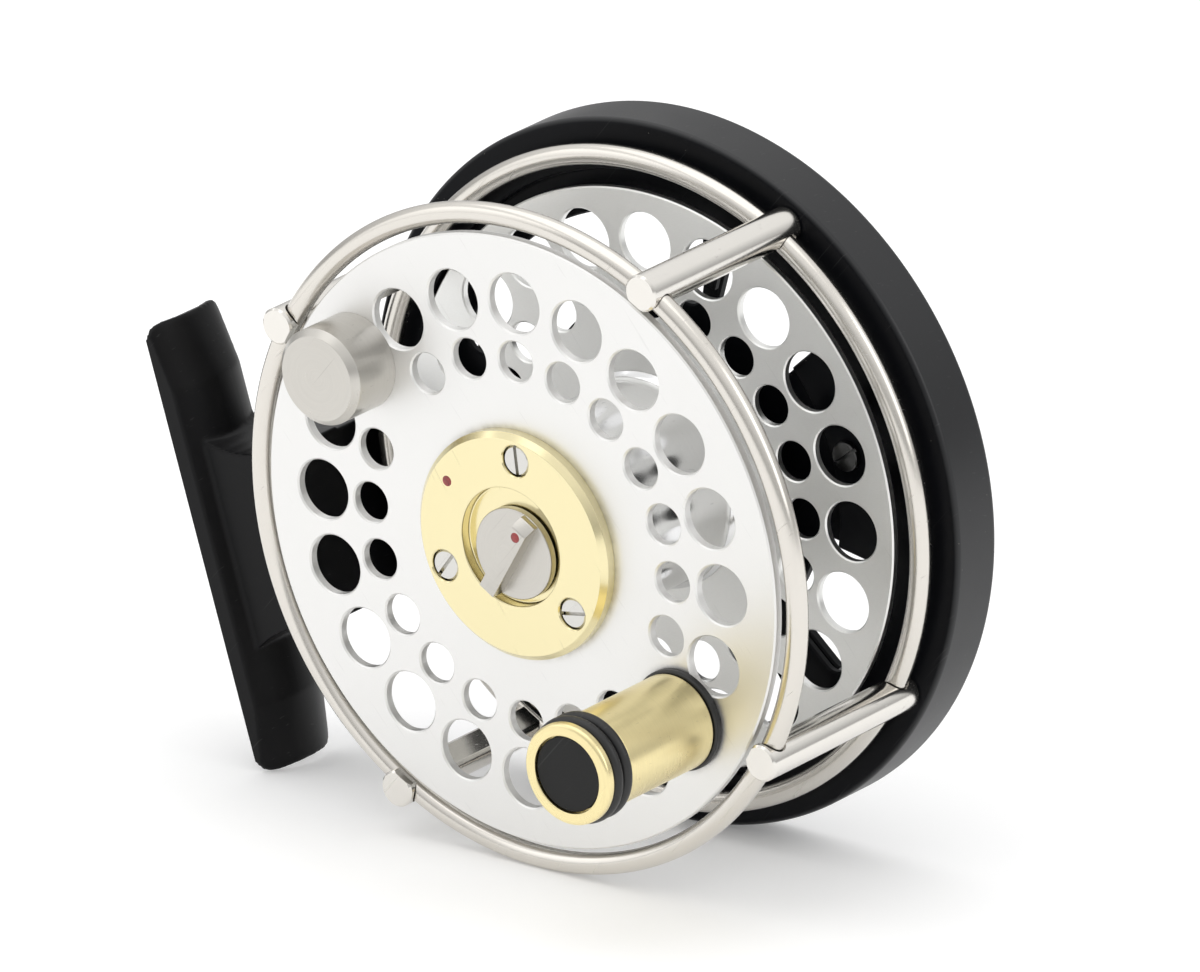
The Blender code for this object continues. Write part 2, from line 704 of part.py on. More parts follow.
def build_hub_plate():
    rear = RECESS_Y + 1.4 * MM
    plate = turned(
        "hub_plate",
        [
            (HUB_BOSS_R, rear), (HUB_BOSS_R, HUB_SEAT_Y), (HUB_R, HUB_SEAT_Y),
            (HUB_R, HUB_FRONT_Y + HUB_BEVEL), (HUB_R - HUB_BEVEL, HUB_FRONT_Y),
            (HUB_RECESS_R, HUB_FRONT_Y), (HUB_RECESS_R, RECESS_Y),
            (1.2 * MM, RECESS_Y), (1.2 * MM, rear),
        ],
        spool_body, BRASS, MIDDLE,
    )
    stem_hole = (0, -KNOB_OFF, KNOB_STEM_R + GAP, RECESS_Y - GAP, rear + GAP)
    boolean(plate, rods("stem_hole", [stem_hole], spool_body, MIDDLE))
    sink_y = HUB_FRONT_Y + SCREW_HEAD_T + GAP
    sinks = [
        (*hub_screw_place(k), SCREW_HEAD_R + GAP, HUB_FRONT_Y - GAP, sink_y) for k in range(HUB_SCREWS)
    ]
    shanks = [(*hub_screw_place(k), CLEAR_R, sink_y - 2 * GAP, HUB_SEAT_Y + GAP) for k in range(HUB_SCREWS)]
    boolean(plate, rods("hub_sinks", sinks, spool_body, 16))
    boolean(plate, rods("hub_shanks", shanks, spool_body, 12))
    slots = (radians(85), radians(40), radians(-5))
    for k in range(HUB_SCREWS):
        x, z = hub_screw_place(k)
        screw(
            f"hub_screw_{k + 1}", (x, sink_y - GAP, z), spool_body,
            DRUM_FRONT_Y + 5.0 * MM - sink_y, slot=-slots[k],
        )


# --- release knob and latch ----------------------------------------------------------------------


def peg_place(turn):
    """The peg's (x, z) from the knob's axis: it swings evenly about the side that the knob is off to."""
    return polar(PEG_OFF, -pi / 2 - KNOB_TURN / 2 + turn)


def build_release():
    under = RECESS_Y - GAP
    stem_end = SPINDLE_TIP_Y - 2 * GAP
    knob = turned(
        "release_knob",
        [
            (0, stem_end), (KNOB_STEM_R, stem_end), (KNOB_STEM_R, under),
            (KNOB_R, under), (KNOB_R, KNOB_FRONT_Y + 0.2 * MM), (KNOB_R - 0.2 * MM, KNOB_FRONT_Y),
            (0, KNOB_FRONT_Y),
        ],
        release_body, STEEL, MIDDLE,
    )
    bar_half = KNOB_R - 0.1 * MM
    bar = block(
        "knob_bar",
        (-bar_half, KNOB_FRONT_Y - KNOB_BAR_HEIGHT, -KNOB_BAR_W / 2),
        (bar_half, KNOB_FRONT_Y + 2 * GAP, KNOB_BAR_W / 2),
        release_body, turn=(0, -KNOB_BAR_ANGLE, 0),
    )
    boolean(knob, bar, "UNION")
    x, z = peg_place(0)
    peg = rods("knob_peg", [(x, z, PEG_R, stem_end - 2 * GAP, LATCH_Y + LATCH_T)], release_body, 12)
    boolean(knob, peg, "UNION")

    # the latch: a keyhole round the spindle's neck, and the slot that the peg drives it by
    latch = block(
        "spool_latch",
        (-LATCH_HALF_LENGTH, LATCH_Y, -LATCH_HALF_WIDTH - KNOB_OFF),
        (LATCH_HALF_LENGTH - LATCH_TRAVEL, LATCH_Y + LATCH_T, LATCH_HALF_WIDTH),
        latch_body, STEEL,
    )
    neck = SPINDLE_NECK_R + GAP
    wide = SPINDLE_TIP_R + GAP
    angle = acos(neck / wide)
    throat = arc(neck, pi / 2, -pi / 2, 9)
    round_part = arc(wide, angle - pi / 2, pi / 2 - angle - 2 * pi, 17, (-LATCH_TRAVEL, 0))
    outline = throat + round_part
    boolean(latch, slab("keyhole", outline, LATCH_Y - GAP, LATCH_Y + LATCH_T + GAP, latch_body))

    path = []
    for k in range(9):
        share = k / 8
        px, pz = peg_place(KNOB_TURN * share)
        path.append(Vector((px - LATCH_TRAVEL * share, pz - KNOB_OFF)))
    clear = PEG_R + GAP
    left, right = [], []
    for k, point in enumerate(path):
        ahead = path[min(k + 1, 8)] - path[max(k - 1, 0)]
        side = Vector((-ahead.y, ahead.x)).normalized() * clear
        left.append(tuple(point + side))
        right.append(tuple(point - side))
    start_way = atan2(*(path[0] - path[1]).yx)
    end_way = atan2(*(path[8] - path[7]).yx)
    start_cap = arc(clear, start_way + pi / 2, start_way - pi / 2, 7, path[0])[::-1]
    end_cap = arc(clear, end_way + pi / 2, end_way - pi / 2, 7, path[8])
    outline = left + end_cap[1:-1] + right[::-1] + start_cap[::-1][1:-1]
    boolean(latch, slab("peg_slot", outline, LATCH_Y - GAP, LATCH_Y + LATCH_T + GAP, latch_body))


# --- spindle -------------------------------------------------------------------------------------


def build_spindle():
    neck_y = LATCH_Y - GAP
    neck_end = LATCH_Y + LATCH_T + GAP
    collar_back = PLATE_Y - GAP
    collar_y = collar_back - SPINDLE_COLLAR_T
    end = SPRING_Y - GAP
    turned(
        "spindle",
        [
            (0, end), (SPINDLE_R, end), (SPINDLE_R, collar_back), (SPINDLE_COLLAR_R, collar_back),
            (SPINDLE_COLLAR_R, collar_y), (SPINDLE_R, collar_y), (SPINDLE_R, neck_end + GAP),
            (SPINDLE_TIP_R, neck_end), (SPINDLE_NECK_R, neck_end), (SPINDLE_NECK_R, neck_y),
            (SPINDLE_TIP_R, neck_y), (SPINDLE_TIP_R, SPINDLE_TIP_Y), (0, SPINDLE_TIP_Y),
        ],
        spindle_body, STEEL, COARSE,
    )


# --- handle and counterweight --------------------------------------------------------------------


def build_handle():
    nose = -HANDLE_LENGTH
    groove_y = nose + GRIP_NOSE
    ring_1 = groove_y + GAP + O_RING_WIRE
    ring_2 = ring_1 + 2 * O_RING_WIRE + GAP
    groove_end = ring_2 + O_RING_WIRE + GAP
    groove_r = O_RING_R - O_RING_WIRE - GAP
    washer_back = -GAP
    grip_back = washer_back - WASHER_T - GAP
    cap_seat = nose + GAP + CAP_T + GAP
    head_back = cap_seat + GAP + POST_HEAD_T
    bore = POST_R + GAP
    round_off = 0.5 * MM
    turned(
        "handle_grip",
        [
            (GRIP_R, grip_back), (GRIP_R, groove_end), (groove_r, groove_end), (groove_r, groove_y),
            (GRIP_NOSE_R, groove_y), (GRIP_NOSE_R, nose + round_off), (GRIP_NOSE_R - round_off, nose),
            (CAP_R + GAP, nose), (CAP_R + GAP, cap_seat), (POST_HEAD_R + GAP, cap_seat),
            (POST_HEAD_R + GAP, head_back + GAP), (bore, head_back + GAP), (bore, grip_back),
        ],
        handle_body, BRASS, MIDDLE,
    )
    for k, along in enumerate((ring_1, ring_2)):
        torus(f"grip_o_ring_{k + 1}", O_RING_R, O_RING_WIRE, along, handle_body, RUBBER, steps=MIDDLE)
    turned(
        "handle_cap",
        [(0, nose + GAP + CAP_T), (CAP_R, nose + GAP + CAP_T), (CAP_R, nose + GAP), (0, nose + GAP)],
        handle_body, BLACK, MIDDLE,
    )

    place = (HANDLE_X, 0, HANDLE_Z)
    tube(
        "handle_washer", POST_R + GAP, WASHER_R, -GAP - WASHER_T, washer_back, spool_body, RUBBER,
        MIDDLE, place,
    )
    tap_depth = 6.0 * MM
    post_back = -GAP
    turned(
        "handle_post",
        [
            (POST_R, post_back), (POST_R, head_back), (POST_HEAD_R, head_back),
            (POST_HEAD_R, cap_seat + GAP), (0, cap_seat + GAP), (0, post_back - tap_depth),
            (CLEAR_R, post_back - tap_depth), (CLEAR_R, post_back),
        ],
        spool_body, STEEL, COARSE, place,
    )
    screw_y = FLANGE_T + GAP
    screw(
        "handle_screw", (HANDLE_X, screw_y, HANDLE_Z), spool_body, screw_y + tap_depth - GAP,
        turn=(pi / 2, 0, 0), head_r=2.4 * MM,
    )

    weight_front = -GAP - WEIGHT_LENGTH
    edge = WEIGHT_CHAMFER
    turned(
        "counterweight",
        [
            (WEIGHT_R, -GAP), (WEIGHT_R, weight_front + edge), (WEIGHT_R - edge, weight_front),
            (0, weight_front), (0, -GAP - tap_depth / 2), (CLEAR_R, -GAP - tap_depth / 2),
            (CLEAR_R, -GAP),
        ],
        spool_body, STEEL, MIDDLE, (WEIGHT_X, 0, WEIGHT_Z),
    )
    screw(
        "counterweight_screw", (WEIGHT_X, screw_y, WEIGHT_Z), spool_body,
        screw_y + tap_depth / 2 - GAP, turn=(pi / 2, 0, 0), head_r=2.4 * MM,
    )


# --- drag ----------------------------------------------------------------------------------------


def build_drag():
    inner = SPINDLE_R + GAP
    tube("drag_disc", inner, DRAG_R, DISC_Y, DISC_Y + DRAG_DISC_T, frame_body, CORK, MIDDLE)
    tube(
        "pressure_plate", inner, DRAG_R, PRESSURE_Y, PRESSURE_Y + PRESSURE_T, spindle_body, STEEL,
        MIDDLE,
    )
    turned(
        "drag_spring",
        [
            (SPRING_R, SPRING_Y + SPRING_T), (SPRING_R, SPRING_Y),
            (inner, SPRING_Y + SPRING_RISE), (inner, SPRING_Y + SPRING_RISE + SPRING_T),
        ],
        frame_body, STEEL, COARSE,
    )
    inside = DRAG_R + 2 * GAP
    outside = inside + HOUSING_WALL
    flange_back = DISC_Y + HOUSING_FLANGE_T
    end_inside = HOUSING_BACK_Y - HOUSING_END_T
    housing = turned(
        "drag_housing",
        [
            (outside - RIM_CHAMFER, HOUSING_BACK_Y), (outside, HOUSING_BACK_Y - RIM_CHAMFER),
            (outside, flange_back), (HOUSING_FLANGE_R, flange_back), (HOUSING_FLANGE_R, DISC_Y),
            (inside, DISC_Y), (inside, end_inside), (DIAL_STEM_R + GAP, end_inside),
            (DIAL_STEM_R + GAP, HOUSING_BACK_Y),
        ],
        frame_body, BLACK, MIDDLE,
    )
    holes = [
        (*housing_screw_place(k), CLEAR_R, DISC_Y - GAP, flange_back + GAP)
        for k in range(HOUSING_SCREWS)
    ]
    boolean(housing, rods("housing_screw_holes", holes, frame_body, 12))
    for k in range(HOUSING_SCREWS):
        x, z = housing_screw_place(k)
        screw(
            f"housing_screw_{k + 1}", (x, flange_back + GAP, z), frame_body,
            flange_back + GAP - PLATE_Y, turn=(pi / 2, 0, 0), slot=k * 1.3,
        )
    dial_back = DIAL_Y + DIAL_T
    edge = 0.8 * MM
    dial = turned(
        "drag_knob",
        [
            (0, dial_back), (DIAL_R - edge, dial_back), (DIAL_R, dial_back - edge), (DIAL_R, DIAL_Y),
            (DIAL_STEM_R, DIAL_Y), (DIAL_STEM_R, DIAL_STEM_Y), (0, DIAL_STEM_Y),
        ],
        dial_body, BLACK, MIDDLE,
    )
    flutes = [
        (*polar(DIAL_R + DIAL_FLUTE_R / 3, k * 2 * pi / DIAL_FLUTES), DIAL_FLUTE_R, DIAL_Y - GAP, dial_back + GAP)
        for k in range(DIAL_FLUTES)
    ]
    boolean(dial, rods("dial_flutes", flutes, dial_body, 12))


# --- the reel as it stands -----------------------------------------------------------------------


def mesh_points(obj, graph):
    evaluated = obj.evaluated_get(graph)
    mesh = evaluated.to_mesh()
    points = [evaluated.matrix_world @ vertex.co for vertex in mesh.vertices]
    evaluated.to_mesh_clear()
    return points


def stand_reel():
    """Leans the reel onto its front ring, the front edge of its rim and the lower end of its foot."""
    rise = RIM_FRONT_Y + RIM_CHAMFER - FRONT_RING_Y
    reach = RIM_R - RING_R
    # reach * cos(pitch) - WIRE_R = rise * sin(pitch)
    pitch = acos(WIRE_R / hypot(reach, rise)) - atan2(rise, reach)
    low = FRONT_RING_Y * sin(pitch) - RING_R * cos(pitch) - WIRE_R
    bpy.context.view_layer.update()
    graph = bpy.context.evaluated_depsgraph_get()
    foot = mesh_points(bpy.data.objects["reel_foot"], graph)

    def foot_height(roll):
        return min(
            cos(pitch) * (sin(roll) * p.x + cos(roll) * p.z) + sin(pitch) * p.y for p in foot
        )

    shallow, steep = 0.0, radians(40)
    for _ in range(40):
        roll = (shallow + steep) / 2
        if foot_height(roll) > low:
            shallow = roll
        else:
            steep = roll
    reel.matrix_world = Matrix.Rotation(pitch, 4, "X") @ Matrix.Rotation(-roll, 4, "Y")
    bpy.context.view_layer.update()
    graph = bpy.context.evaluated_depsgraph_get()
    solids = [thing for thing in parts.objects if thing.type == "MESH"]
    points = [point for thing in solids for point in mesh_points(thing, graph)]
    centre = [(min(p[i] for p in points) + max(p[i] for p in points)) / 2 for i in (0, 1)]
    bottom = min(p.z for p in points)
    reel.matrix_world = Matrix.Translation((-centre[0], -centre[1], -bottom)) @ reel.matrix_world
    bpy.context.view_layer.update()


build_cage()
build_foot(build_back())
build_spool()
build_hub_plate()
build_release()
build_spindle()
build_handle()
build_drag()
for piece in parts.objects:
    if piece.type == "MESH":
        smooth(piece.data)
stand_reel()
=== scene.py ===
# %% [markdown]
# # A fly reel
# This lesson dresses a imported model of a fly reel: a perforated spool in an open wire cage, on a black
# back frame with a foot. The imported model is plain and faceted, and its joints and sizes are right. Each
# step below makes one sub-part again with rounded edges and a real finish, in the same place.

import json
from math import asin, atan2, cos, hypot, pi, radians, sin, sqrt, tan

import bmesh
import bpy
from mathutils import Matrix, Vector


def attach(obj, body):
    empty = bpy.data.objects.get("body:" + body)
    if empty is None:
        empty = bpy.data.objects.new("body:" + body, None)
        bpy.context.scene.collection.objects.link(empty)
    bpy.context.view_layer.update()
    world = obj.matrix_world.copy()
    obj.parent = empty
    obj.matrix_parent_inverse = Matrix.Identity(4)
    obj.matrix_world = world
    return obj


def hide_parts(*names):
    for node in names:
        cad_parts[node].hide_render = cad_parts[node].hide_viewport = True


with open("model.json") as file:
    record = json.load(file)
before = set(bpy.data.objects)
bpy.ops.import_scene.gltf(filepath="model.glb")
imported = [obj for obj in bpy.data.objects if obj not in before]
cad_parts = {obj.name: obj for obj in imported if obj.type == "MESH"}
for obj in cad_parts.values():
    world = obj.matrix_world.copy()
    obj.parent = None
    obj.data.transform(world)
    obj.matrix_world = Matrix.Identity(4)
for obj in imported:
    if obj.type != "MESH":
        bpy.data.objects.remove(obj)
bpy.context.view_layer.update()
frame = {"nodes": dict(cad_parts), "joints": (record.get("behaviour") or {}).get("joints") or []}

# %% [markdown]
# ## The reel's own axes
# The reel leans on three points, so nothing on it is level. It is much easier to model it straight and to
# lean it at the end. Two joints say how it leans: the latch slides along the reel's X, and the spool
# spins about an axis that points out of its front. The spool's joint also sits in the middle of its
# front face, which makes a good origin. Sizes from here on are in millimetres.

# %% The reel's place
MM = 0.001
joints = {joint["name"]: joint for joint in frame["joints"]}
across = Vector(joints["latch_slide"]["axis"])
inward = -Vector(joints["spool_spin"]["axis"])
LEAN = Matrix((across, inward, across.cross(inward))).transposed()
ORIGIN = Vector(joints["spool_spin"]["pos_m"])
PLACE = Matrix.Translation(ORIGIN) @ LEAN.to_4x4() @ Matrix.Scale(MM, 4)
print("the reel leans by", [round(turn, 3) for turn in LEAN.to_euler()], "radians")

# %% [markdown]
# ## Sizes
# These are the sizes that more than one piece shares. Y runs along the spin axis, from the handle side to
# the back, and y = 0 is the front face of the spool.

# %% Shared sizes
FLANGE_R, FLANGE_T = 41.9, 1.5
REAR_FLANGE_R, REAR_FLANGE_T, REAR_FLANGE_Y = 39.9, 1.2, 27.3
HOLES_ROUND, HOLE_RING_R, SMALL_RING_R = 20, 33.0, 25.0
HANDLE_ANGLE, HANDLE_RING_R = radians(-52.2), 31.8
RING_R, WIRE_R = 44.3, 1.45
RING_YS = (1.5, 27.4)
PILLAR_R, PILLAR_RING_R, PILLARS = 2.5, 44.85, 4
RIM_R, RIM_FRONT_Y, RIM_BACK_Y = 48.5, 29.8, 38.1
HUB_FACE_Y, HUB_FLOOR_Y = -2.1, -0.5
HUB_SCREW_RING_R, HUB_SCREW_START = 12.2, radians(68.3)
PLATE_SCREW_RING_R, PLATE_SCREW_ANGLES = 31.0, (0, 163, 197)
HEAD_R = 2.0
KNOB_OFF = 1.0


def polar(radius, angle):
    """The (x, z) of a point at this radius and angle from the spin axis."""
    return radius * cos(angle), radius * sin(angle)


HANDLE = polar(HANDLE_RING_R, HANDLE_ANGLE)
WEIGHT = polar(HOLE_RING_R, HANDLE_ANGLE + pi)
print("handle at", [round(value, 1) for value in HANDLE], "mm")

# %% [markdown]
# ## Nodes from Python
# Shaders and Geometry Nodes are both trees of nodes. One helper adds a node, sets its options and feeds
# its sockets: another node's socket is linked in, and anything else is set as a value.


# %% Node helpers
def put(tree, kind, feeds=None, **options):
    """Adds a node. feeds holds what goes into each of its sockets, by name or by number."""
    node = tree.nodes.new(kind)
    for option, value in options.items():
        setattr(node, option, value)
    for socket, value in (feeds or {}).items():
        if isinstance(value, bpy.types.NodeSocket):
            tree.links.new(value, node.inputs[socket])
        else:
            node.inputs[socket].default_value = value
    return node


def calc(tree, operation, first, second=0.0, third=0.0):
    """The output of a Math node."""
    feeds = {0: first, 1: second, 2: third}
    return put(tree, "ShaderNodeMath", feeds, operation=operation).outputs[0]


def vector_calc(tree, operation, first, second=(0, 0, 0)):
    node = put(tree, "ShaderNodeVectorMath", {0: first, 1: second}, operation=operation)
    return node.outputs["Value" if operation == "LENGTH" else "Vector"]


def triple(tree, x=0.0, y=0.0, z=0.0):
    return put(tree, "ShaderNodeCombineXYZ", {0: x, 1: y, 2: z}).outputs[0]


def axis_distance(tree, point):
    """How far a point is from the spin axis."""
    return vector_calc(tree, "LENGTH", vector_calc(tree, "MULTIPLY", point, (1, 0, 1)))


def remap(tree, value, low, high, to_low=0.0, to_high=1.0):
    feeds = {"Value": value, "From Min": low, "From Max": high, "To Min": to_low, "To Max": to_high}
    return put(tree, "ShaderNodeMapRange", feeds, clamp=True).outputs[0]


def new_group(name, kind, inputs, outputs):
    """A node group with these sockets. It returns the group, its inputs by name, and its output node."""
    group = bpy.data.node_groups.new(name, kind)
    for label, (socket_type, value) in inputs.items():
        socket = group.interface.new_socket(label, in_out="INPUT", socket_type="NodeSocket" + socket_type)
        if value is not None:
            socket.default_value = value
    for label, socket_type in outputs.items():
        group.interface.new_socket(label, in_out="OUTPUT", socket_type="NodeSocket" + socket_type)
    entry = group.nodes.new("NodeGroupInput")
    sockets = {socket.name: socket for socket in entry.outputs if socket.name}
    return group, sockets, group.nodes.new("NodeGroupOutput")


# %% [markdown]
# ## Marks that a lathe leaves
# Every round part of a reel is turned, and a lathe leaves fine rings round its axis. A noise texture that
# is read by radius and by length, and hardly at all by angle, gives the same rings on a face and on a
# side. A little of the angle is mixed in, so that each ring fades in and out as a real one does.


# %% Turning marks
def make_turning_marks():
    group, given, out = new_group(
        "turning marks", "ShaderNodeTree",
        {"Vector": ("Vector", None), "Fineness": ("Float", 6.0), "Breaks": ("Float", 0.25)},
        {"Value": "Float"},
    )
    place = put(group, "ShaderNodeSeparateXYZ", {0: given["Vector"]})
    radius = axis_distance(group, given["Vector"])
    around = calc(group, "ADD", place.outputs["X"], place.outputs["Z"])
    point = triple(
        group,
        calc(group, "MULTIPLY", radius, given["Fineness"]),
        calc(group, "MULTIPLY", place.outputs["Y"], given["Fineness"]),
        calc(group, "MULTIPLY", given["Breaks"], around),
    )
    noise = put(group, "ShaderNodeTexNoise", {"Vector": point, "Scale": 1.0, "Detail": 3.0, "Roughness": 0.6})
    group.links.new(noise.outputs[0], out.inputs["Value"])
    return group


TURNING_MARKS = make_turning_marks()
print(TURNING_MARKS.name, "has", len(TURNING_MARKS.nodes), "nodes")

# %% [markdown]
# ## Handling
# Fingers leave soft cloudy smudges, and use leaves a few hairline scratches. One group gives both as
# masks: the smudges are a soft noise, and the scratches are a noise stretched out very long, of which
# only the highest crests are kept.


# %% Smudges and scratches
def make_handling():
    group, given, out = new_group(
        "handling", "ShaderNodeTree",
        {"Vector": ("Vector", None), "Smudge Scale": ("Float", 0.08), "Scratch Turn": ("Float", 0.6)},
        {"Smudges": "Float", "Scratches": "Float"},
    )
    feeds = {"Vector": given["Vector"], "Scale": given["Smudge Scale"], "Detail": 5.0, "Roughness": 0.6}
    cloud = put(group, "ShaderNodeTexNoise", feeds)
    smudges = remap(group, cloud.outputs[0], 0.35, 0.7)
    turned = put(
        group, "ShaderNodeVectorRotate",
        {"Vector": given["Vector"], "Axis": (0.2, 1.0, 0.1), "Angle": given["Scratch Turn"]},
    )
    stretched = vector_calc(group, "MULTIPLY", turned.outputs[0], (0.05, 0.6, 3.2))
    lines = put(group, "ShaderNodeTexNoise", {"Vector": stretched, "Scale": 1.0, "Detail": 2.0})
    scratches = remap(group, lines.outputs[0], 0.69, 0.74)
    group.links.new(smudges, out.inputs["Smudges"])
    group.links.new(scratches, out.inputs["Scratches"])
    return group


HANDLING = make_handling()
print(HANDLING.name, "has", len(HANDLING.nodes), "nodes")

# %% [markdown]
# ## Fine grain
# Satin anodised aluminium is etched before it is anodised, so it glitters very finely. The group gives a
# fine, even noise that can be drawn out along X, for sheet that was brushed first.


# %% Grain
def make_grain():
    group, given, out = new_group(
        "grain", "ShaderNodeTree",
        {"Vector": ("Vector", None), "Scale": ("Float", 9.0), "Along": ("Float", 1.0)},
        {"Value": "Float"},
    )
    drawn = vector_calc(group, "MULTIPLY", given["Vector"], triple(group, given["Along"], 1.0, 1.0))
    feeds = {"Vector": drawn, "Scale": given["Scale"], "Detail": 2.0, "Roughness": 0.7}
    noise = put(group, "ShaderNodeTexNoise", feeds)
    group.links.new(noise.outputs[0], out.inputs["Value"])
    return group


GRAIN = make_grain()
print(GRAIN.name, "has", len(GRAIN.nodes), "nodes")

# %% [markdown]
# ## Dust, grease and painted shade
# Dust shows as pale specks on black. Where one part stands on another, a dark ring is painted that is partly
# old grease and partly painted shade at the foot of the raised part. Specks are the middles of a few random
# Voronoi cells. The ring starts at a radius, fades outwards and is broken up by noise.


# %% Dust, grease and painted shade
def make_specks():
    group, given, out = new_group(
        "dust specks", "ShaderNodeTree",
        {"Vector": ("Vector", None), "Scale": ("Float", 0.9), "Share": ("Float", 0.2)},
        {"Mask": "Float"},
    )
    cells = put(
        group, "ShaderNodeTexVoronoi", {"Vector": given["Vector"], "Scale": given["Scale"]}, feature="F1"
    )
    near = calc(group, "LESS_THAN", cells.outputs["Distance"], 0.055)
    colour = put(group, "ShaderNodeSeparateColor", {0: cells.outputs["Color"]})
    chosen = calc(group, "LESS_THAN", colour.outputs[0], given["Share"])
    group.links.new(calc(group, "MULTIPLY", near, chosen), out.inputs["Mask"])
    return group


# Its ring is partly grease and partly painted shade at the foot of a raised part.
def make_shade_and_grease():
    group, given, out = new_group(
        "painted shade and grease ring", "ShaderNodeTree",
        {"Vector": ("Vector", None), "Start": ("Float", 15.6), "Width": ("Float", 1.5)},
        {"Mask": "Float"},
    )
    past = calc(group, "SUBTRACT", axis_distance(group, given["Vector"]), given["Start"])
    away = calc(group, "DIVIDE", past, given["Width"])
    fade = calc(group, "POWER", remap(group, away, 0.0, 1.0, 1.0, 0.0), 2.0)
    noise = put(group, "ShaderNodeTexNoise", {"Vector": given["Vector"], "Scale": 0.7, "Detail": 6.0})
    broken = remap(group, noise.outputs[0], 0.3, 0.65, 0.15, 1.0)
    group.links.new(calc(group, "MULTIPLY", fade, broken), out.inputs["Mask"])
    return group


SPECKS = make_specks()
SHADE_AND_GREASE = make_shade_and_grease()
print(SPECKS.name, "and", SHADE_AND_GREASE.name, "are ready")

# %% [markdown]
# ## A material's frame
# Each piece ends up with its object at the world's origin, so Object coordinates are world coordinates.
# A Mapping node of type Texture takes them back into the reel's own axes, in millimetres, about the
# axis of whichever piece the material is for. Each material starts from this.


# %% Material helpers
class Finish:
    """A material under construction: its tree, its shader and its coordinates in millimetres."""

    def __init__(self, name, colour, roughness, metallic, about=(0, 0, 0)):
        self.material = bpy.data.materials.new(name)
        self.material.use_nodes = True
        self.material.diffuse_color = (*colour, 1)
        self.tree = self.material.node_tree
        self.shader = self.tree.nodes["Principled BSDF"]
        self.set("Base Color", (*colour, 1))
        self.set("Roughness", roughness)
        self.set("Metallic", metallic)
        world = put(self.tree, "ShaderNodeTexCoord").outputs["Object"]
        feeds = {
            "Vector": world, "Location": PLACE @ Vector(about), "Rotation": LEAN.to_euler(),
            "Scale": (MM, MM, MM),
        }
        self.point = put(self.tree, "ShaderNodeMapping", feeds, vector_type="TEXTURE").outputs[0]

    def set(self, socket, value):
        if isinstance(value, bpy.types.NodeSocket):
            self.tree.links.new(value, self.shader.inputs[socket])
        else:
            self.shader.inputs[socket].default_value = value

    def use(self, group, **values):
        """Places a shared node group, fed with the piece's coordinates."""
        node = put(self.tree, "ShaderNodeGroup", node_tree=group)
        self.tree.links.new(self.point, node.inputs["Vector"])
        for label, value in values.items():
            node.inputs[label.replace("_", " ").title()].default_value = value
        return node

    def blend(self, mask, first, second):
        """The first colour where the mask is 0, and the second where it is 1. Either can be a socket."""
        feeds = {"Factor": mask}
        node = put(self.tree, "ShaderNodeMix", feeds, data_type="RGBA")
        for number, colour in ((6, first), (7, second)):
            if isinstance(colour, bpy.types.NodeSocket):
                self.tree.links.new(colour, node.inputs[number])
            else:
                node.inputs[number].default_value = (*colour, 1)
        return node.outputs[2]

    def bump(self, height, strength, distance):
        feeds = {"Height": height, "Strength": strength, "Distance": distance * MM}
        self.set("Normal", put(self.tree, "ShaderNodeBump", feeds).outputs[0])

    def sum(self, *shares):
        """A sum of (value, share) pairs and plain numbers."""
        total = 0.0
        for share in shares:
            if isinstance(share, tuple):
                total = calc(self.tree, "MULTIPLY_ADD", share[0], share[1], total)
            else:
                total = calc(self.tree, "ADD", total, share)
        return total


def tinted(colour, factor):
    return tuple(min(1.0, part * factor) for part in colour)


# %% [markdown]
# ## Bare metals
# The turned metals share one recipe: rings from the lathe in the colour, the roughness and a very
# shallow bump, smudges that dull the shine a little, and hairline scratches. Only the values differ.


# %% Turned metal
def turned_metal(name, colour, roughness, about=(0, 0, 0), marks=0.5, fineness=6.0, depth=0.004, turn=0.6):
    """marks is how strong the lathe's rings are, from 0 to 1, and depth is their height in millimetres."""
    finish = Finish(name, colour, roughness, 1.0, about)
    rings = finish.use(TURNING_MARKS, fineness=fineness).outputs[0]
    handling = finish.use(HANDLING, scratch_turn=turn)
    smudges, scratches = handling.outputs
    tone = remap(finish.tree, rings, 0.3, 0.7, 0.0, 0.35 * marks)
    worn = finish.blend(tone, colour, tinted(colour, 0.72))
    dulled = calc(finish.tree, "MULTIPLY", scratches, 0.35)
    finish.set("Base Color", finish.blend(dulled, worn, tinted(colour, 0.6)))
    spread = 0.16 * marks
    rough = finish.sum(roughness - spread / 2, (rings, spread), (smudges, 0.05), (scratches, 0.1))
    finish.set("Roughness", rough)
    finish.bump(finish.sum((rings, marks), (scratches, -0.3)), 0.6, depth)
    return finish.material


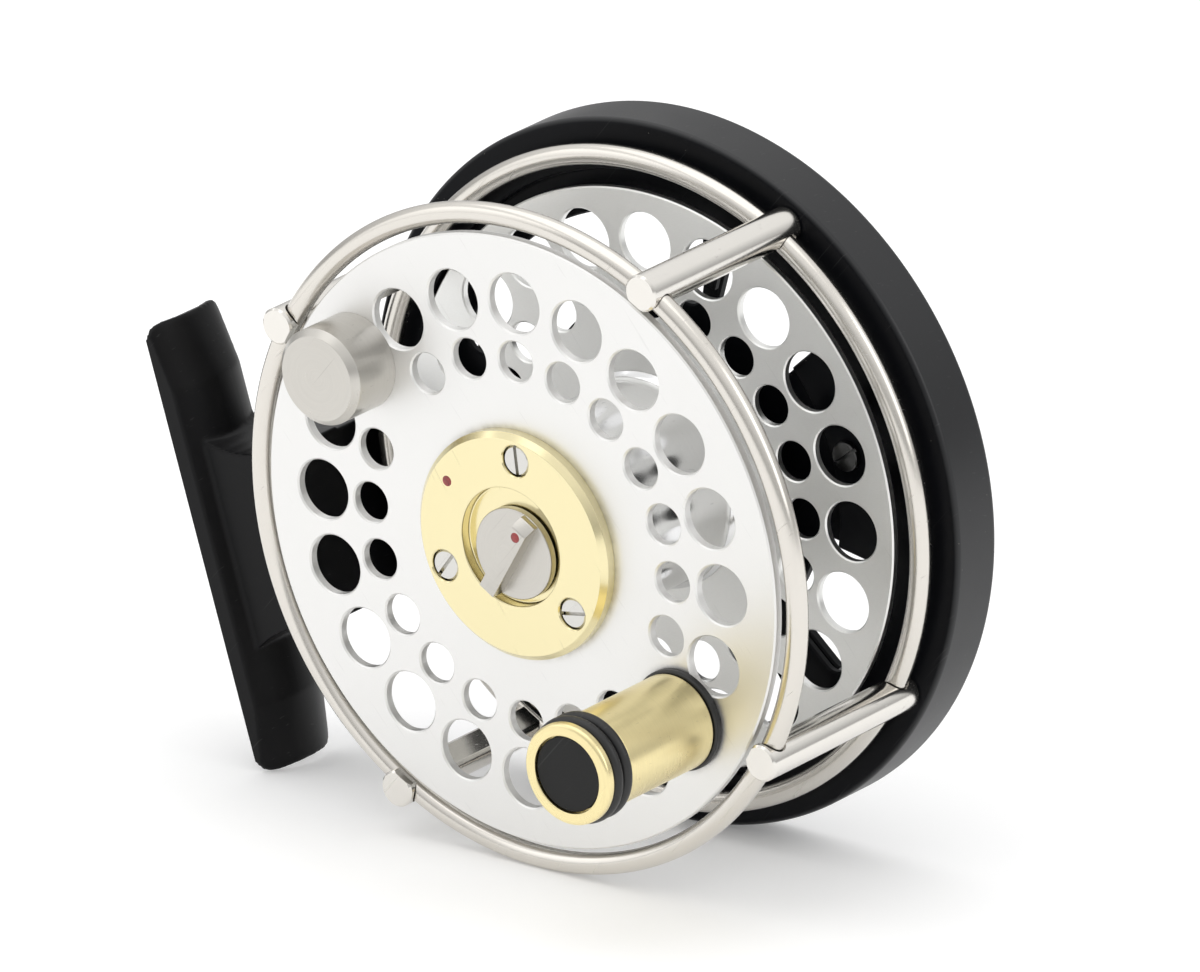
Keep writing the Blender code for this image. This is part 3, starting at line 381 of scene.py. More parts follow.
STAINLESS = (0.58, 0.56, 0.52)
PALE_BRASS = (0.83, 0.745, 0.46)
HANDLE_AXIS, WEIGHT_AXIS = (HANDLE[0], 0, HANDLE[1]), (WEIGHT[0], 0, WEIGHT[1])
MATERIALS = {
    "wire": turned_metal(
        "warm nickel wire", (0.70, 0.67, 0.62), 0.2, marks=0.12, fineness=1.5, depth=0.002,
    ),
    "pillar": turned_metal(
        "nickel pillars", (0.78, 0.755, 0.71), 0.17, marks=0.15, fineness=3.0, depth=0.002,
    ),
    "fixings": turned_metal("turned screws", (0.66, 0.65, 0.62), 0.22, marks=0.4),
    "dark_fixings": turned_metal("blackened screws", (0.10, 0.10, 0.10), 0.3, marks=0.4),
    "steel": turned_metal("ground steel", (0.55, 0.55, 0.54), 0.25, marks=0.4),
    "knob": turned_metal("stainless release knob", STAINLESS, 0.3, (0, 0, -KNOB_OFF), marks=0.35),
    "weight": turned_metal("stainless counterweight", STAINLESS, 0.27, WEIGHT_AXIS, marks=0.45),
    "drum": turned_metal("polished drum", (0.80, 0.80, 0.80), 0.12, marks=0.3, fineness=3.0),
    "plate": turned_metal(
        "polished pale brass", PALE_BRASS, 0.17, marks=0.12, fineness=3.0, depth=0.001, turn=1.9,
    ),
    "grip": turned_metal(
        "satin turned brass", (0.88, 0.76, 0.42), 0.27, HANDLE_AXIS, marks=0.6, depth=0.006,
    ),
}
print(len(MATERIALS), "turned metals")

# %% [markdown]
# ## The spool's aluminium
# The flanges are cut from sheet, etched and clear anodised, which leaves an even, nearly white satin. The
# front one is darker in a ring round the hub plate and round the handle's washer, partly a trace of grease
# and partly painted shade at the foot of each.


# %% Flange finishes
def flange_finish(name, colour, roughness, shade_and_grease, brushed=1.0):
    finish = Finish(name, colour, roughness, 1.0)
    grain = finish.use(GRAIN, scale=7.0, along=brushed).outputs[0]
    smudges, scratches = finish.use(HANDLING, smudge_scale=0.05, scratch_turn=2.0).outputs
    shade_and_grease_mask = finish.use(SHADE_AND_GREASE, start=15.4, width=1.4).outputs[0]
    offset = vector_calc(finish.tree, "SUBTRACT", finish.point, HANDLE_AXIS)
    washer = finish.use(SHADE_AND_GREASE, start=6.7, width=1.4)
    finish.tree.links.new(offset, washer.inputs["Vector"])
    shade_and_grease_mask = calc(finish.tree, "MULTIPLY", calc(finish.tree, "MAXIMUM", shade_and_grease_mask, washer.outputs[0]), shade_and_grease)
    fine = remap(finish.tree, grain, 0.3, 0.7, 0.0, 0.2)
    clean = finish.blend(fine, colour, tinted(colour, 0.86))
    scuffed = finish.blend(calc(finish.tree, "MULTIPLY", scratches, 0.2), clean, tinted(colour, 0.7))
    # The dark ring here is partly grease and partly painted shade at the foot of the hub plate and of the
    # washer.
    finish.set("Base Color", finish.blend(shade_and_grease_mask, scuffed, (0.10, 0.085, 0.06)))
    finish.set("Roughness", finish.sum(roughness - 0.04, (grain, 0.08), (smudges, 0.05), (shade_and_grease_mask, 0.2)))
    finish.bump(finish.sum((grain, 1.0), (scratches, -0.4)), 0.5, 0.004)
    return finish.material


MATERIALS["flange"] = flange_finish("satin anodised flange", (0.825, 0.82, 0.805), 0.42, 0.45)
# The rear flange is the same sheet as the front one. Its paler colour is painted light, for its face seen lit
# through the holes.
MATERIALS["rear_flange"] = flange_finish("rear flange", (0.88, 0.88, 0.86), 0.36, 0.0, 0.25)
print("flange finishes ready")

# %% [markdown]
# ## Black parts
# The frame and the foot are black anodised aluminium: black dye under a hard clear film. Under a soft
# light that is a dark, slightly blue satin, so it is modelled as a dark dielectric and not as a metal.
# Rubber and the cap are duller.


# %% Black finishes
def black_finish(name, colour, roughness, dust=0.12, grain_depth=0.004, specular=0.5, wall=None):
    """wall is a radius, and outside it the surface is polished before it is dyed."""
    finish = Finish(name, colour, roughness, 0.0)
    grain = finish.use(GRAIN, scale=5.0).outputs[0]
    smudges, scratches = finish.use(HANDLING, smudge_scale=0.06).outputs
    specks = finish.use(SPECKS, share=dust).outputs[0]
    cloudy = finish.blend(calc(finish.tree, "MULTIPLY", smudges, 0.5), colour, tinted(colour, 1.6))
    scuffed = finish.blend(calc(finish.tree, "MULTIPLY", scratches, 0.12), cloudy, (0.12, 0.12, 0.12))
    dusty = finish.blend(calc(finish.tree, "MULTIPLY", specks, 0.5), scuffed, (0.3, 0.28, 0.24))
    finish.set("Base Color", dusty)
    finish.set("Roughness", finish.sum(roughness - 0.03, (grain, 0.06), (smudges, 0.06), (specks, 0.3)))
    if wall:
        radius = axis_distance(finish.tree, finish.point)
        specular = remap(finish.tree, radius, wall - 0.5, wall, specular, 0.5)
    finish.set("Specular IOR Level", specular)
    finish.bump(grain, 0.5, grain_depth)
    return finish.material


MATERIALS.update({
    "black": black_finish(
        "black anodised frame", (0.003, 0.0033, 0.0045), 0.36, specular=0.1, wall=RIM_R - 0.1,
    ),
    "foot": black_finish("black anodised foot", (0.003, 0.003, 0.0035), 0.34, dust=0.03, specular=0.16),
    "seal": black_finish("black rubber", (0.008, 0.008, 0.008), 0.38, dust=0.02),
    "cap": black_finish(
        "matte black cap", (0.006, 0.006, 0.006), 0.62, dust=0.03, grain_depth=0.02, specular=0.35,
    ),
    "disc": black_finish("drag disc", (0.25, 0.17, 0.10), 0.8, grain_depth=0.05),
})
print("black finishes ready")

# %% [markdown]
# ## Red marks
# Two drops of dark red enamel show how far the release knob is turned. Enamel is a smooth coat over
# colour, so it has a clear coat and a slightly uneven tone.


# %% Enamel
def enamel_finish():
    finish = Finish("dark red enamel", (0.30, 0.012, 0.010), 0.35, 0.0)
    cloud = finish.use(GRAIN, scale=1.6).outputs[0]
    tone = remap(finish.tree, cloud, 0.35, 0.65)
    finish.set("Base Color", finish.blend(tone, (0.34, 0.014, 0.012), (0.16, 0.006, 0.006)))
    finish.set("Coat Weight", 0.6)
    finish.set("Coat Roughness", 0.12)
    return finish.material


MATERIALS["enamel"] = enamel_finish()
print(len(MATERIALS), "finishes in all")

# %% [markdown]
# ## Pieces
# A finished piece has its place in its mesh: the lean and the scale are applied to the points, and the object
# itself stays at the origin. Then it is told which body carries it, which imported nodes it stands for, and
# which finish it gets.


# %% Placing a piece
def mesh_object(name, bm):
    mesh = bpy.data.meshes.new(name)
    bm.to_mesh(mesh)
    bm.free()
    made = bpy.data.objects.new(name, mesh)
    bpy.context.scene.collection.objects.link(made)
    return made


def settle(piece, body, stands_for, finish, crease=35):
    """Leans a piece that was modelled straight, smooths it, and hands it to its body."""
    mesh = piece.data
    bm = bmesh.new()
    bm.from_mesh(mesh)
    bmesh.ops.remove_doubles(bm, verts=bm.verts, dist=0.0005)
    bmesh.ops.dissolve_degenerate(bm, edges=bm.edges, dist=0.0002)
    bmesh.ops.recalc_face_normals(bm, faces=bm.faces)
    bm.to_mesh(mesh)
    bm.free()
    mesh.transform(PLACE)
    mesh.shade_smooth()
    mesh.set_sharp_from_angle(angle=radians(crease))
    mesh.materials.clear()
    mesh.materials.append(MATERIALS[finish])
    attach(piece, body)
    if stands_for:
        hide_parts(*stands_for)
    print(f"{piece.name}: {len(mesh.polygons)} faces on {body}")
    return piece


# %% [markdown]
# ## Lathe work
# A turned piece is a profile swung round an axis. Real edges are never sharp, and the thin highlight on a
# rounded edge is what makes metal look like metal. So the profile's corners are rounded first: each
# corner can name its own radius, and gets a short arc, with a point just outside each end of it that
# keeps the flats flat when they are shaded smooth.


# %% Rounded profiles and the lathe
def rounded(corners, steps=4):
    """(radius, y) points of a closed profile. A corner is (radius, y) or (radius, y, rounding)."""
    points = []
    for number, corner in enumerate(corners):
        here = Vector(corner[:2])
        rounding = corner[2] if len(corner) > 2 else 0.0
        if not rounding:
            points.append(here)
            continue
        back = (Vector(corners[number - 1][:2]) - here).normalized()
        ahead = (Vector(corners[(number + 1) % len(corners)][:2]) - here).normalized()
        half = back.angle(ahead) / 2
        start, end = here + back * rounding / tan(half), here + ahead * rounding / tan(half)
        middle = here + (back + ahead).normalized() * rounding / sin(half)
        support = 0.15 * rounding
        points.append(start + back * support)
        for step in range(steps + 1):
            spoke = (start - middle).slerp(end - middle, step / steps) if step else start - middle
            points.append(middle + spoke.normalized() * rounding)
        points.append(end + ahead * support)
    return points


def turn_profile(name, profile, centre=(0, 0), steps=128):
    """Swings (radius, y) points round the line through centre that runs along Y."""
    bm = bmesh.new()
    rings = []
    for radius, y in profile:
        if radius < 0.001:
            rings.append([bm.verts.new((centre[0], y, centre[1]))] * steps)
            continue
        spots = [polar(radius, 2 * pi * step / steps) for step in range(steps)]
        rings.append([bm.verts.new((centre[0] + x, y, centre[1] + z)) for x, z in spots])
    for ring, after in zip(rings, rings[1:] + rings[:1]):
        for step in range(steps):
            turn = (step + 1) % steps
            corners = (ring[step], ring[turn], after[turn], after[step])
            face = list(dict.fromkeys(corners))
            if len(face) > 2:
                bm.faces.new(face)
    return mesh_object(name, bm)


def lathe(name, corners, centre=(0, 0), steps=128):
    return turn_profile(name, rounded(corners), centre, steps)


# %% [markdown]
# ## Lofts
# What isn't round is a row of loops with faces between them, closed at its ends.


# %% Lofts and prisms
def loft(name, loops, ends=(0, -1)):
    """Joins loops of (x, y, z) points, all of one length, and closes the loops that ends names."""
    bm = bmesh.new()
    rings = [[bm.verts.new(point) for point in loop] for loop in loops]
    for ring, after in zip(rings, rings[1:]):
        for step in range(len(ring)):
            turn = (step + 1) % len(ring)
            bm.faces.new((ring[step], ring[turn], after[turn], after[step]))
    for end in ends:
        bm.faces.new(rings[end])
    bmesh.ops.recalc_face_normals(bm, faces=bm.faces)
    return mesh_object(name, bm)


def prism(name, outline, axis, start, end):
    """A flat outline pushed along X, Y or Z. Its two numbers are (y, z), (x, z) or (x, y)."""
    order = {"x": (2, 0, 1), "y": (0, 2, 1), "z": (0, 1, 2)}[axis]
    loops = []
    for along in (start, end):
        loops.append([[(*pair, along)[place] for place in order] for pair in outline])
    return loft(name, loops)


# %% [markdown]
# ## Cutting
# Holes are cut with Booleans. A cutter that flares where it comes out of the metal leaves its own
# chamfer, so no bevel is needed afterwards. The exact solver copes with faces that meet, and the
# modifier is applied at once by taking the evaluated mesh.


# %% Boolean helpers
def evaluated(piece):
    """A copy of the piece's mesh with its modifiers applied."""
    graph = bpy.context.evaluated_depsgraph_get()
    return bpy.data.meshes.new_from_object(piece.evaluated_get(graph), depsgraph=graph)


def bake_modifiers(piece):
    mesh = evaluated(piece)
    piece.modifiers.clear()
    piece.data = mesh
    mesh.name = piece.name


def cut(piece, *cutters, operation="DIFFERENCE"):
    for cutter in cutters:
        step = piece.modifiers.new("Cut", "BOOLEAN")
        step.operation = operation
        step.solver = "EXACT"
        step.object = cutter
    bake_modifiers(piece)
    for cutter in cutters:
        bpy.data.objects.remove(cutter, do_unlink=True)
    return piece


def drill(name, centre, radius, start, end, flare=0.15, steps=48):
    """A cutter for a round hole from start to end along Y, whose mouths are flared by a chamfer."""
    wide, over = radius + flare, 1.0
    profile = [
        (0, end + over), (wide, end + over), (wide, end), (radius, end - flare),
        (radius, start + flare), (wide, start), (wide, start - over), (0, start - over),
    ]
    return turn_profile(name, profile, centre, steps)


# %% [markdown]
# ## Geometry Nodes for what repeats
# The perforations, the pillars and the screws repeat round a circle. Each is made by a tree of Geometry
# Nodes with named sizes. All of them are built from one small group, an edged wall: the wall of a hole,
# or of a round bar, with a chamfer at each end. It starts from a circle of edges and extrudes it three
# times.


# %% The edged wall
def make_edged_wall():
    group, given, out = new_group(
        "edged wall", "GeometryNodeTree",
        {
            "Radius": ("Float", 4.0), "Length": ("Float", 1.5), "Chamfer": ("Float", 0.15),
            "Outward": ("Float", -1.0), "Sides": ("Int", 48),
        },
        {"Wall": "Geometry", "Outline": "Geometry"},
    )
    step_out = calc(group, "MULTIPLY", given["Chamfer"], given["Outward"])
    mouth = calc(group, "SUBTRACT", given["Radius"], step_out)
    circle = put(
        group, "GeometryNodeMeshCircle", {"Vertices": given["Sides"], "Radius": mouth}, fill_type="NONE"
    ).outputs[0]
    straight = calc(group, "MULTIPLY_ADD", given["Chamfer"], -2.0, given["Length"])
    away = vector_calc(group, "MULTIPLY", put(group, "GeometryNodeInputPosition").outputs[0], (1, 1, 0))
    away = vector_calc(group, "NORMALIZE", away)
    step_back = calc(group, "MULTIPLY", step_out, -1.0)
    shape, top = circle, None
    for sideways, along in ((step_out, given["Chamfer"]), (0.0, straight), (step_back, given["Chamfer"])):
        feeds = {0: away, "Scale": sideways}
        spread = put(group, "ShaderNodeVectorMath", feeds, operation="SCALE").outputs[0]
        down = triple(group, 0.0, 0.0, calc(group, "MULTIPLY", along, -1.0))
        offset = vector_calc(group, "ADD", spread, down)
        feeds = {"Mesh": shape, "Offset": offset, "Offset Scale": 1.0}
        if top:
            feeds["Selection"] = top
        extrude = put(group, "GeometryNodeExtrudeMesh", feeds, mode="EDGES")
        shape, top = extrude.outputs["Mesh"], extrude.outputs["Top"]
    outline = put(group, "GeometryNodeMeshToCurve", {"Mesh": circle}).outputs[0]
    group.links.new(shape, out.inputs["Wall"])
    group.links.new(outline, out.inputs["Outline"])
    return group


EDGED_WALL = make_edged_wall()


def edged_wall(tree, **sizes):
    """Places the group, and returns its wall and its outline."""
    node = put(tree, "GeometryNodeGroup", node_tree=EDGED_WALL)
    for label, value in sizes.items():
        socket = node.inputs[label.title()]
        if isinstance(value, bpy.types.NodeSocket):
            tree.links.new(value, socket)
        else:
            socket.default_value = value
    return node.outputs["Wall"], node.outputs["Outline"]


def join(tree, *shapes):
    node = put(tree, "GeometryNodeJoinGeometry")
    for shape in shapes:
        tree.links.new(shape, node.inputs[0])
    return node.outputs[0]


def moved(tree, shape, offset):
    return put(tree, "GeometryNodeTransform", {"Geometry": shape, "Translation": offset}).outputs[0]


def two_faces(tree, outlines, length):
    """The flat face inside these outlines, and the same face turned round at the other end."""
    face = put(tree, "GeometryNodeFillCurve", {"Curve": outlines}, mode="TRIANGLES").outputs[0]
    down = triple(tree, 0.0, 0.0, calc(tree, "MULTIPLY", length, -1.0))
    back = put(tree, "GeometryNodeFlipFaces", {"Mesh": moved(tree, face, down)}).outputs[0]
    return join(tree, face, back)


def round_the_axis(tree, count, radius, start):
    """Points round a circle in the XY plane, the first one at this angle."""
    index = put(tree, "GeometryNodeInputIndex").outputs[0]
    turn = calc(tree, "MULTIPLY_ADD", index, calc(tree, "DIVIDE", 2 * pi, count), start)
    across, up = (calc(tree, "MULTIPLY", calc(tree, wave, turn), radius) for wave in ("COSINE", "SINE"))
    feeds = {"Count": count, "Position": triple(tree, across, up, 0.0)}
    return put(tree, "GeometryNodePoints", feeds).outputs[0]


def finish_tree(tree, out, shape):
    """Realises and welds the shape, and ends in a Set Material node that sets no material; settle gives the
    material later.
    """
    real = put(tree, "GeometryNodeRealizeInstances", {"Geometry": shape}).outputs[0]
    welded = put(tree, "GeometryNodeMergeByDistance", {"Geometry": real, "Distance": 0.001}).outputs[0]
    material = put(tree, "GeometryNodeSetMaterial", {"Geometry": welded}).outputs[0]
    tree.links.new(material, out.inputs[0])


def grow(name, tree, **sizes):
    """Runs a tree on an empty mesh with these inputs, and keeps the result as a plain mesh.

    The trees work in the XY plane, so the result is turned to put their Z along the spin axis.
    """
    piece = bpy.data.objects.new(name, bpy.data.meshes.new(name))
    bpy.context.scene.collection.objects.link(piece)
    step = piece.modifiers.new("Nodes", "NODES")
    step.node_group = tree
    labels = {item.name: item.identifier for item in tree.interface.items_tree if item.in_out == "INPUT"}
    for label, value in sizes.items():
        step[labels[label.replace("_", " ").title()]] = value
    bake_modifiers(piece)
    piece.data.transform(Matrix.Rotation(pi / 2, 4, "X"))
    return piece


print("the edged wall has", len(EDGED_WALL.nodes), "nodes")

# %% [markdown]
# ## Perforated flanges
# Both flanges have two rings of holes on the same spokes, and the front one has none where the handle and
# its counterweight stand. The holes could be cut one by one, but it is cleaner to fill the face
# between all the outlines in one go, and to hang an edged wall from each outline.


# %% The perforated flange
def make_perforated_flange():
    tree, given, out = new_group(
        "perforated flange", "GeometryNodeTree",
        {
            "Outer Radius": ("Float", 40.0), "Bore Radius": ("Float", 6.0), "Thickness": ("Float", 1.5),
            "Chamfer": ("Float", 0.15), "Holes": ("Int", 20), "First Hole": ("Float", 0.0),
            "Large Ring": ("Float", 33.0), "Large Hole": ("Float", 4.1), "Small Ring": ("Float", 25.0),
            "Small Hole": ("Float", 2.75), "Closed Spokes": ("Float", 0.0),
        },
        {"Geometry": "Geometry"},
    )
    sizes = {"length": given["Thickness"], "chamfer": given["Chamfer"]}
    outer = edged_wall(tree, radius=given["Outer Radius"], outward=1.0, sides=256, **sizes)
    bore = edged_wall(tree, radius=given["Bore Radius"], sides=64, **sizes)
    walls, outlines = [outer[0], bore[0]], [outer[1], bore[1]]
    index = put(tree, "GeometryNodeInputIndex").outputs[0]
    half_way = calc(tree, "MULTIPLY", given["Holes"], 0.5)
    on_spoke = calc(tree, "COMPARE", calc(tree, "MODULO", index, half_way), 0.0, 0.5)
    kept = calc(tree, "LESS_THAN", calc(tree, "MULTIPLY", on_spoke, given["Closed Spokes"]), 0.5)
    for ring, hole in (("Large Ring", "Large Hole"), ("Small Ring", "Small Hole")):
        spots = round_the_axis(tree, given["Holes"], given[ring], given["First Hole"])
        wall, outline = edged_wall(tree, radius=given[hole], sides=56, **sizes)
        for shape, pile in ((wall, walls), (outline, outlines)):
            feeds = {"Points": spots, "Instance": shape, "Selection": kept}
            pile.append(put(tree, "GeometryNodeInstanceOnPoints", feeds).outputs[0])
    flat = put(tree, "GeometryNodeRealizeInstances", {"Geometry": join(tree, *outlines)}).outputs[0]
    finish_tree(tree, out, join(tree, two_faces(tree, flat, given["Thickness"]), *walls))
    return tree


PERFORATED_FLANGE = make_perforated_flange()
front_flange = grow(
    "front_flange", PERFORATED_FLANGE, outer_radius=FLANGE_R, bore_radius=10.3, thickness=FLANGE_T,
    chamfer=0.22, holes=HOLES_ROUND, first_hole=HANDLE_ANGLE, large_ring=HOLE_RING_R, large_hole=4.1,
    small_ring=SMALL_RING_R, small_hole=2.75, closed_spokes=1.0,
)
rear_flange = grow(
    "rear_flange", PERFORATED_FLANGE, outer_radius=REAR_FLANGE_R, bore_radius=6.9,
    thickness=REAR_FLANGE_T, chamfer=0.2, holes=HOLES_ROUND, first_hole=HANDLE_ANGLE,
    large_ring=HOLE_RING_R, large_hole=4.1, small_ring=SMALL_RING_R, small_hole=2.75,
)
rear_flange.data.transform(Matrix.Translation((0, REAR_FLANGE_Y, 0)))
settle(front_flange, "spool", ["spool_front_flange"], "flange")
settle(rear_flange, "spool", ["spool_rear_flange"], "rear_flange")

# %% [markdown]
# ## Drum
# The line winds on the drum. It is turned from the same aluminium and polished, and it has a small
# rounded foot where it meets each flange.

# %% Drum
DRUM_R, DRUM_YS = 14.0, (FLANGE_T + 0.05, REAR_FLANGE_Y - 0.05)
lip = 0.9
drum = lathe(
    "drum",
    [
        (DRUM_R + lip, DRUM_YS[1]), (DRUM_R + lip, DRUM_YS[1] - 0.3), (DRUM_R, DRUM_YS[1] - 0.3 - lip, 1.5),
        (DRUM_R, DRUM_YS[0] + 0.3 + lip, 1.5), (DRUM_R + lip, DRUM_YS[0] + 0.3), (DRUM_R + lip, DRUM_YS[0]),
        (10.2, DRUM_YS[0]), (10.2, 5.7), (6.3, 5.7), (6.3, DRUM_YS[1]),
    ],
)
settle(drum, "spool", ["spool_drum"], "drum")

# %% [markdown]
# ## Wire rings
# Two rings of round wire, with the drawn, slightly warm nickel look of the real ones. A torus is a circle
# swept round a circle, so the lathe makes it from a round profile.


# %% Rings
def wire(name, y, radius=WIRE_R, sides=32, steps=256):
    turns = [2 * pi * side / sides for side in range(sides)]
    profile = [(RING_R + radius * cos(turn), y - radius * sin(turn)) for turn in turns]
    return turn_profile(name, profile, steps=steps)


for name, y in zip(("front_ring", "rear_ring"), RING_YS):
    settle(wire(name + "_wire", y), "frame", [name], "wire")

# %% [markdown]
# ## Pillars
# Four round bars join the rings to the back frame. Each is a chamfered bar that repeats round the
# axis. A flat is milled off its inner side, clear of the spool, and the wires pass through cross holes
# with a hair of space round them, which shows as a dark line.


# %% The round bar tree
def make_bars():
    tree, given, out = new_group(
        "bars in a ring", "GeometryNodeTree",
        {
            "Count": ("Int", 4), "Ring Radius": ("Float", 45.0), "First": ("Float", 0.0),
            "Radius": ("Float", 2.5), "Length": ("Float", 30.0), "Chamfer": ("Float", 0.3),
        },
        {"Geometry": "Geometry"},
    )
    sizes = {"length": given["Length"], "chamfer": given["Chamfer"]}
    wall, outline = edged_wall(tree, radius=given["Radius"], outward=1.0, sides=48, **sizes)
    bar = join(tree, wall, two_faces(tree, outline, given["Length"]))
    spots = round_the_axis(tree, given["Count"], given["Ring Radius"], given["First"])
    bars = put(tree, "GeometryNodeInstanceOnPoints", {"Points": spots, "Instance": bar}).outputs[0]
    finish_tree(tree, out, bars)
    return tree


BARS = make_bars()
pillar_start = RING_YS[0] - 2.3
pillars = grow(
    "pillars", BARS, count=PILLARS, ring_radius=PILLAR_RING_R, first=pi / PILLARS, radius=PILLAR_R,
    length=RIM_FRONT_Y + 0.05 - pillar_start, chamfer=0.28,
)
pillars.data.transform(Matrix.Translation((0, pillar_start, 0)))
flat_start, flat_end = pillar_start - 1, RIM_FRONT_Y + 1
clearance = turn_profile(
    "clearance", [(0, flat_end), (42.85, flat_end), (42.85, flat_start), (0, flat_start)], steps=256
)
passages = [wire(f"passage_{number}", y, WIRE_R + 0.22) for number, y in enumerate(RING_YS)]
cut(pillars, clearance, *passages)
settle(pillars, "frame", [f"pillar_{number + 1}" for number in range(PILLARS)], "pillar")

# %% [markdown]
# ## Back frame
# The rim and its web are one piece, turned from black anodised bar. Behind the web sits a plate that
# carries the spindle. Four kidney-shaped windows go through both, and what is left between them are the
# plate's arms. A window is two arcs joined by round corners, so its outline is worked out from its radii.


# %% Windows
WINDOW_INNER, WINDOW_OUTER, WINDOW_CORNER = 23.5, 35.5, 2.0
WINDOW_SPANS = ((26, 57), (63, 147), (-57, -26), (-147, -72))


def arc_points(centre, radius, start, end, count=9):
    turns = [start + (end - start) * step / (count - 1) for step in range(count)]
    return [(centre[0] + radius * cos(turn), centre[1] + radius * sin(turn)) for turn in turns]


def window_outline(span, grow_by=0.0):
    """The (x, z) outline of the window between two angles, grown by a margin."""
    middle, half = radians(sum(span) / 2), radians(span[1] - span[0]) / 2
    corner = WINDOW_CORNER + grow_by
    far, near = WINDOW_OUTER - WINDOW_CORNER, WINDOW_INNER + WINDOW_CORNER
    far_turn, near_turn = (half - asin(WINDOW_CORNER / spot) for spot in (far, near))
    outline = arc_points((0, 0), WINDOW_OUTER + grow_by, middle - far_turn, middle + far_turn, 33)[1:-1]
    side = middle + half + pi / 2
    outline += arc_points(polar(far, middle + far_turn), corner, middle + far_turn, side)
    outline += arc_points(polar(near, middle + near_turn), corner, side, middle + near_turn + pi)
    outline += arc_points((0, 0), WINDOW_INNER - grow_by, middle + near_turn, middle - near_turn, 25)[1:-1]
    side = middle - half - pi / 2
    outline += arc_points(polar(near, middle - near_turn), corner, middle - near_turn - pi, side)
    outline += arc_points(polar(far, middle - far_turn), corner, side, middle - far_turn)
    return outline


def window_cutter(name, span, start, end, flare=0.25):
    """A cutter through the frame whose mouths are flared."""
    levels = [
        (start - 1, flare), (start, flare), (start + flare, 0.0), (end - flare, 0.0), (end, flare),
        (end + 1, flare),
    ]
    return loft(name, [[(x, y, z) for x, z in window_outline(span, grow_by)] for y, grow_by in levels])


def windows(start, end):
    return [
        window_cutter(f"window_{number}", span, start, end) for number, span in enumerate(WINDOW_SPANS)
    ]


# %% [markdown]
# The rim's front edge has a shallow step on the inside, and its back is hollow behind the web.

# %% Rim and plate
WEB_YS, PLATE_YS = (31.3, 32.5), (32.8, 34.3)
rim = lathe(
    "rim",
    [
        (RIM_R, RIM_BACK_Y, 0.7), (RIM_R, RIM_FRONT_Y, 0.7), (41.5, RIM_FRONT_Y, 0.35),
        (41.5, WEB_YS[0], 0.4), (28.0, WEB_YS[0], 0.2), (28.0, WEB_YS[1], 0.2),
        (45.4, WEB_YS[1], 0.8), (45.4, RIM_BACK_Y, 0.4),
    ],
    steps=288,
)
cut(rim, *windows(*WEB_YS))
for number in range(PILLARS):
    spot = polar(PILLAR_RING_R, pi / 4 + number * pi / 2)
    cut(rim, drill("nut_seat", spot, 2.5, 32.35, 36.0, 0.1))
settle(rim, "frame", ["frame_rim"], "black")

plate = lathe(
    "back_plate_piece",
    [(34.5, PLATE_YS[1], 0.2), (34.5, PLATE_YS[0], 0.2), (3.3, PLATE_YS[0], 0.2), (3.3, PLATE_YS[1], 0.2)],
    steps=192,
)
cut(plate, *windows(*PLATE_YS))
settle(plate, "frame", ["back_plate"], "black")

# %% [markdown]
# ## Screws
# All the screws here have slotted heads. A tree makes them in rings: a head with a chamfer, a slot cut
# across it by a Boolean, and a turn that changes from one screw to the next, because nobody lines up
# screws.


# %% The screw tree
def make_screws():
    tree, given, out = new_group(
        "slotted screws", "GeometryNodeTree",
        {
            "Count": ("Int", 3), "Ring Radius": ("Float", 12.0), "First": ("Float", 0.0),
            "Head Radius": ("Float", 2.0), "Head Height": ("Float", 1.0), "Chamfer": ("Float", 0.15),
            "Slot Width": ("Float", 0.5), "Slot Depth": ("Float", 0.5), "Slot Turn": ("Float", 0.0),
            "Turn Each": ("Float", 1.0),
        },
        {"Geometry": "Geometry"},
    )
    height = given["Head Height"]
    wall, outline = edged_wall(
        tree, radius=given["Head Radius"], length=height, chamfer=given["Chamfer"], outward=1.0, sides=40
    )
    head = join(tree, wall, two_faces(tree, outline, height))
    head = put(tree, "GeometryNodeMergeByDistance", {"Geometry": head, "Distance": 0.001}).outputs[0]
    twice = calc(tree, "MULTIPLY", given["Slot Depth"], 2.0)
    across_head = calc(tree, "MULTIPLY", given["Head Radius"], 3.0)
    slot = put(
        tree, "GeometryNodeMeshCube", {"Size": triple(tree, across_head, given["Slot Width"], twice)}
    ).outputs[0]
    slotted = put(
        tree, "GeometryNodeMeshBoolean", {"Mesh 1": head, "Mesh 2": slot}, operation="DIFFERENCE"
    )
    spots = round_the_axis(tree, given["Count"], given["Ring Radius"], given["First"])
    index = put(tree, "GeometryNodeInputIndex").outputs[0]
    turn = calc(tree, "MULTIPLY_ADD", index, given["Turn Each"], given["Slot Turn"])
    feeds = {"Points": spots, "Instance": slotted.outputs[0], "Rotation": triple(tree, 0.0, 0.0, turn)}
    screws = put(tree, "GeometryNodeInstanceOnPoints", feeds).outputs[0]
    finish_tree(tree, out, screws)
    return tree


SCREWS = make_screws()


def screws(name, y, body, stands_for, facing_front=True, finish="fixings", **sizes):
    """Rings of screw heads whose slotted faces lie at y."""
    made = grow(name, SCREWS, **sizes)
    if not facing_front:
        made.data.transform(Matrix.Scale(-1, 4, (0, 1, 0)))
    made.data.transform(Matrix.Translation((0, y, 0)))
    return settle(made, body, stands_for, finish, 30)


def numbered(name, count):
    return [f"{name}_{number + 1}" for number in range(count)]


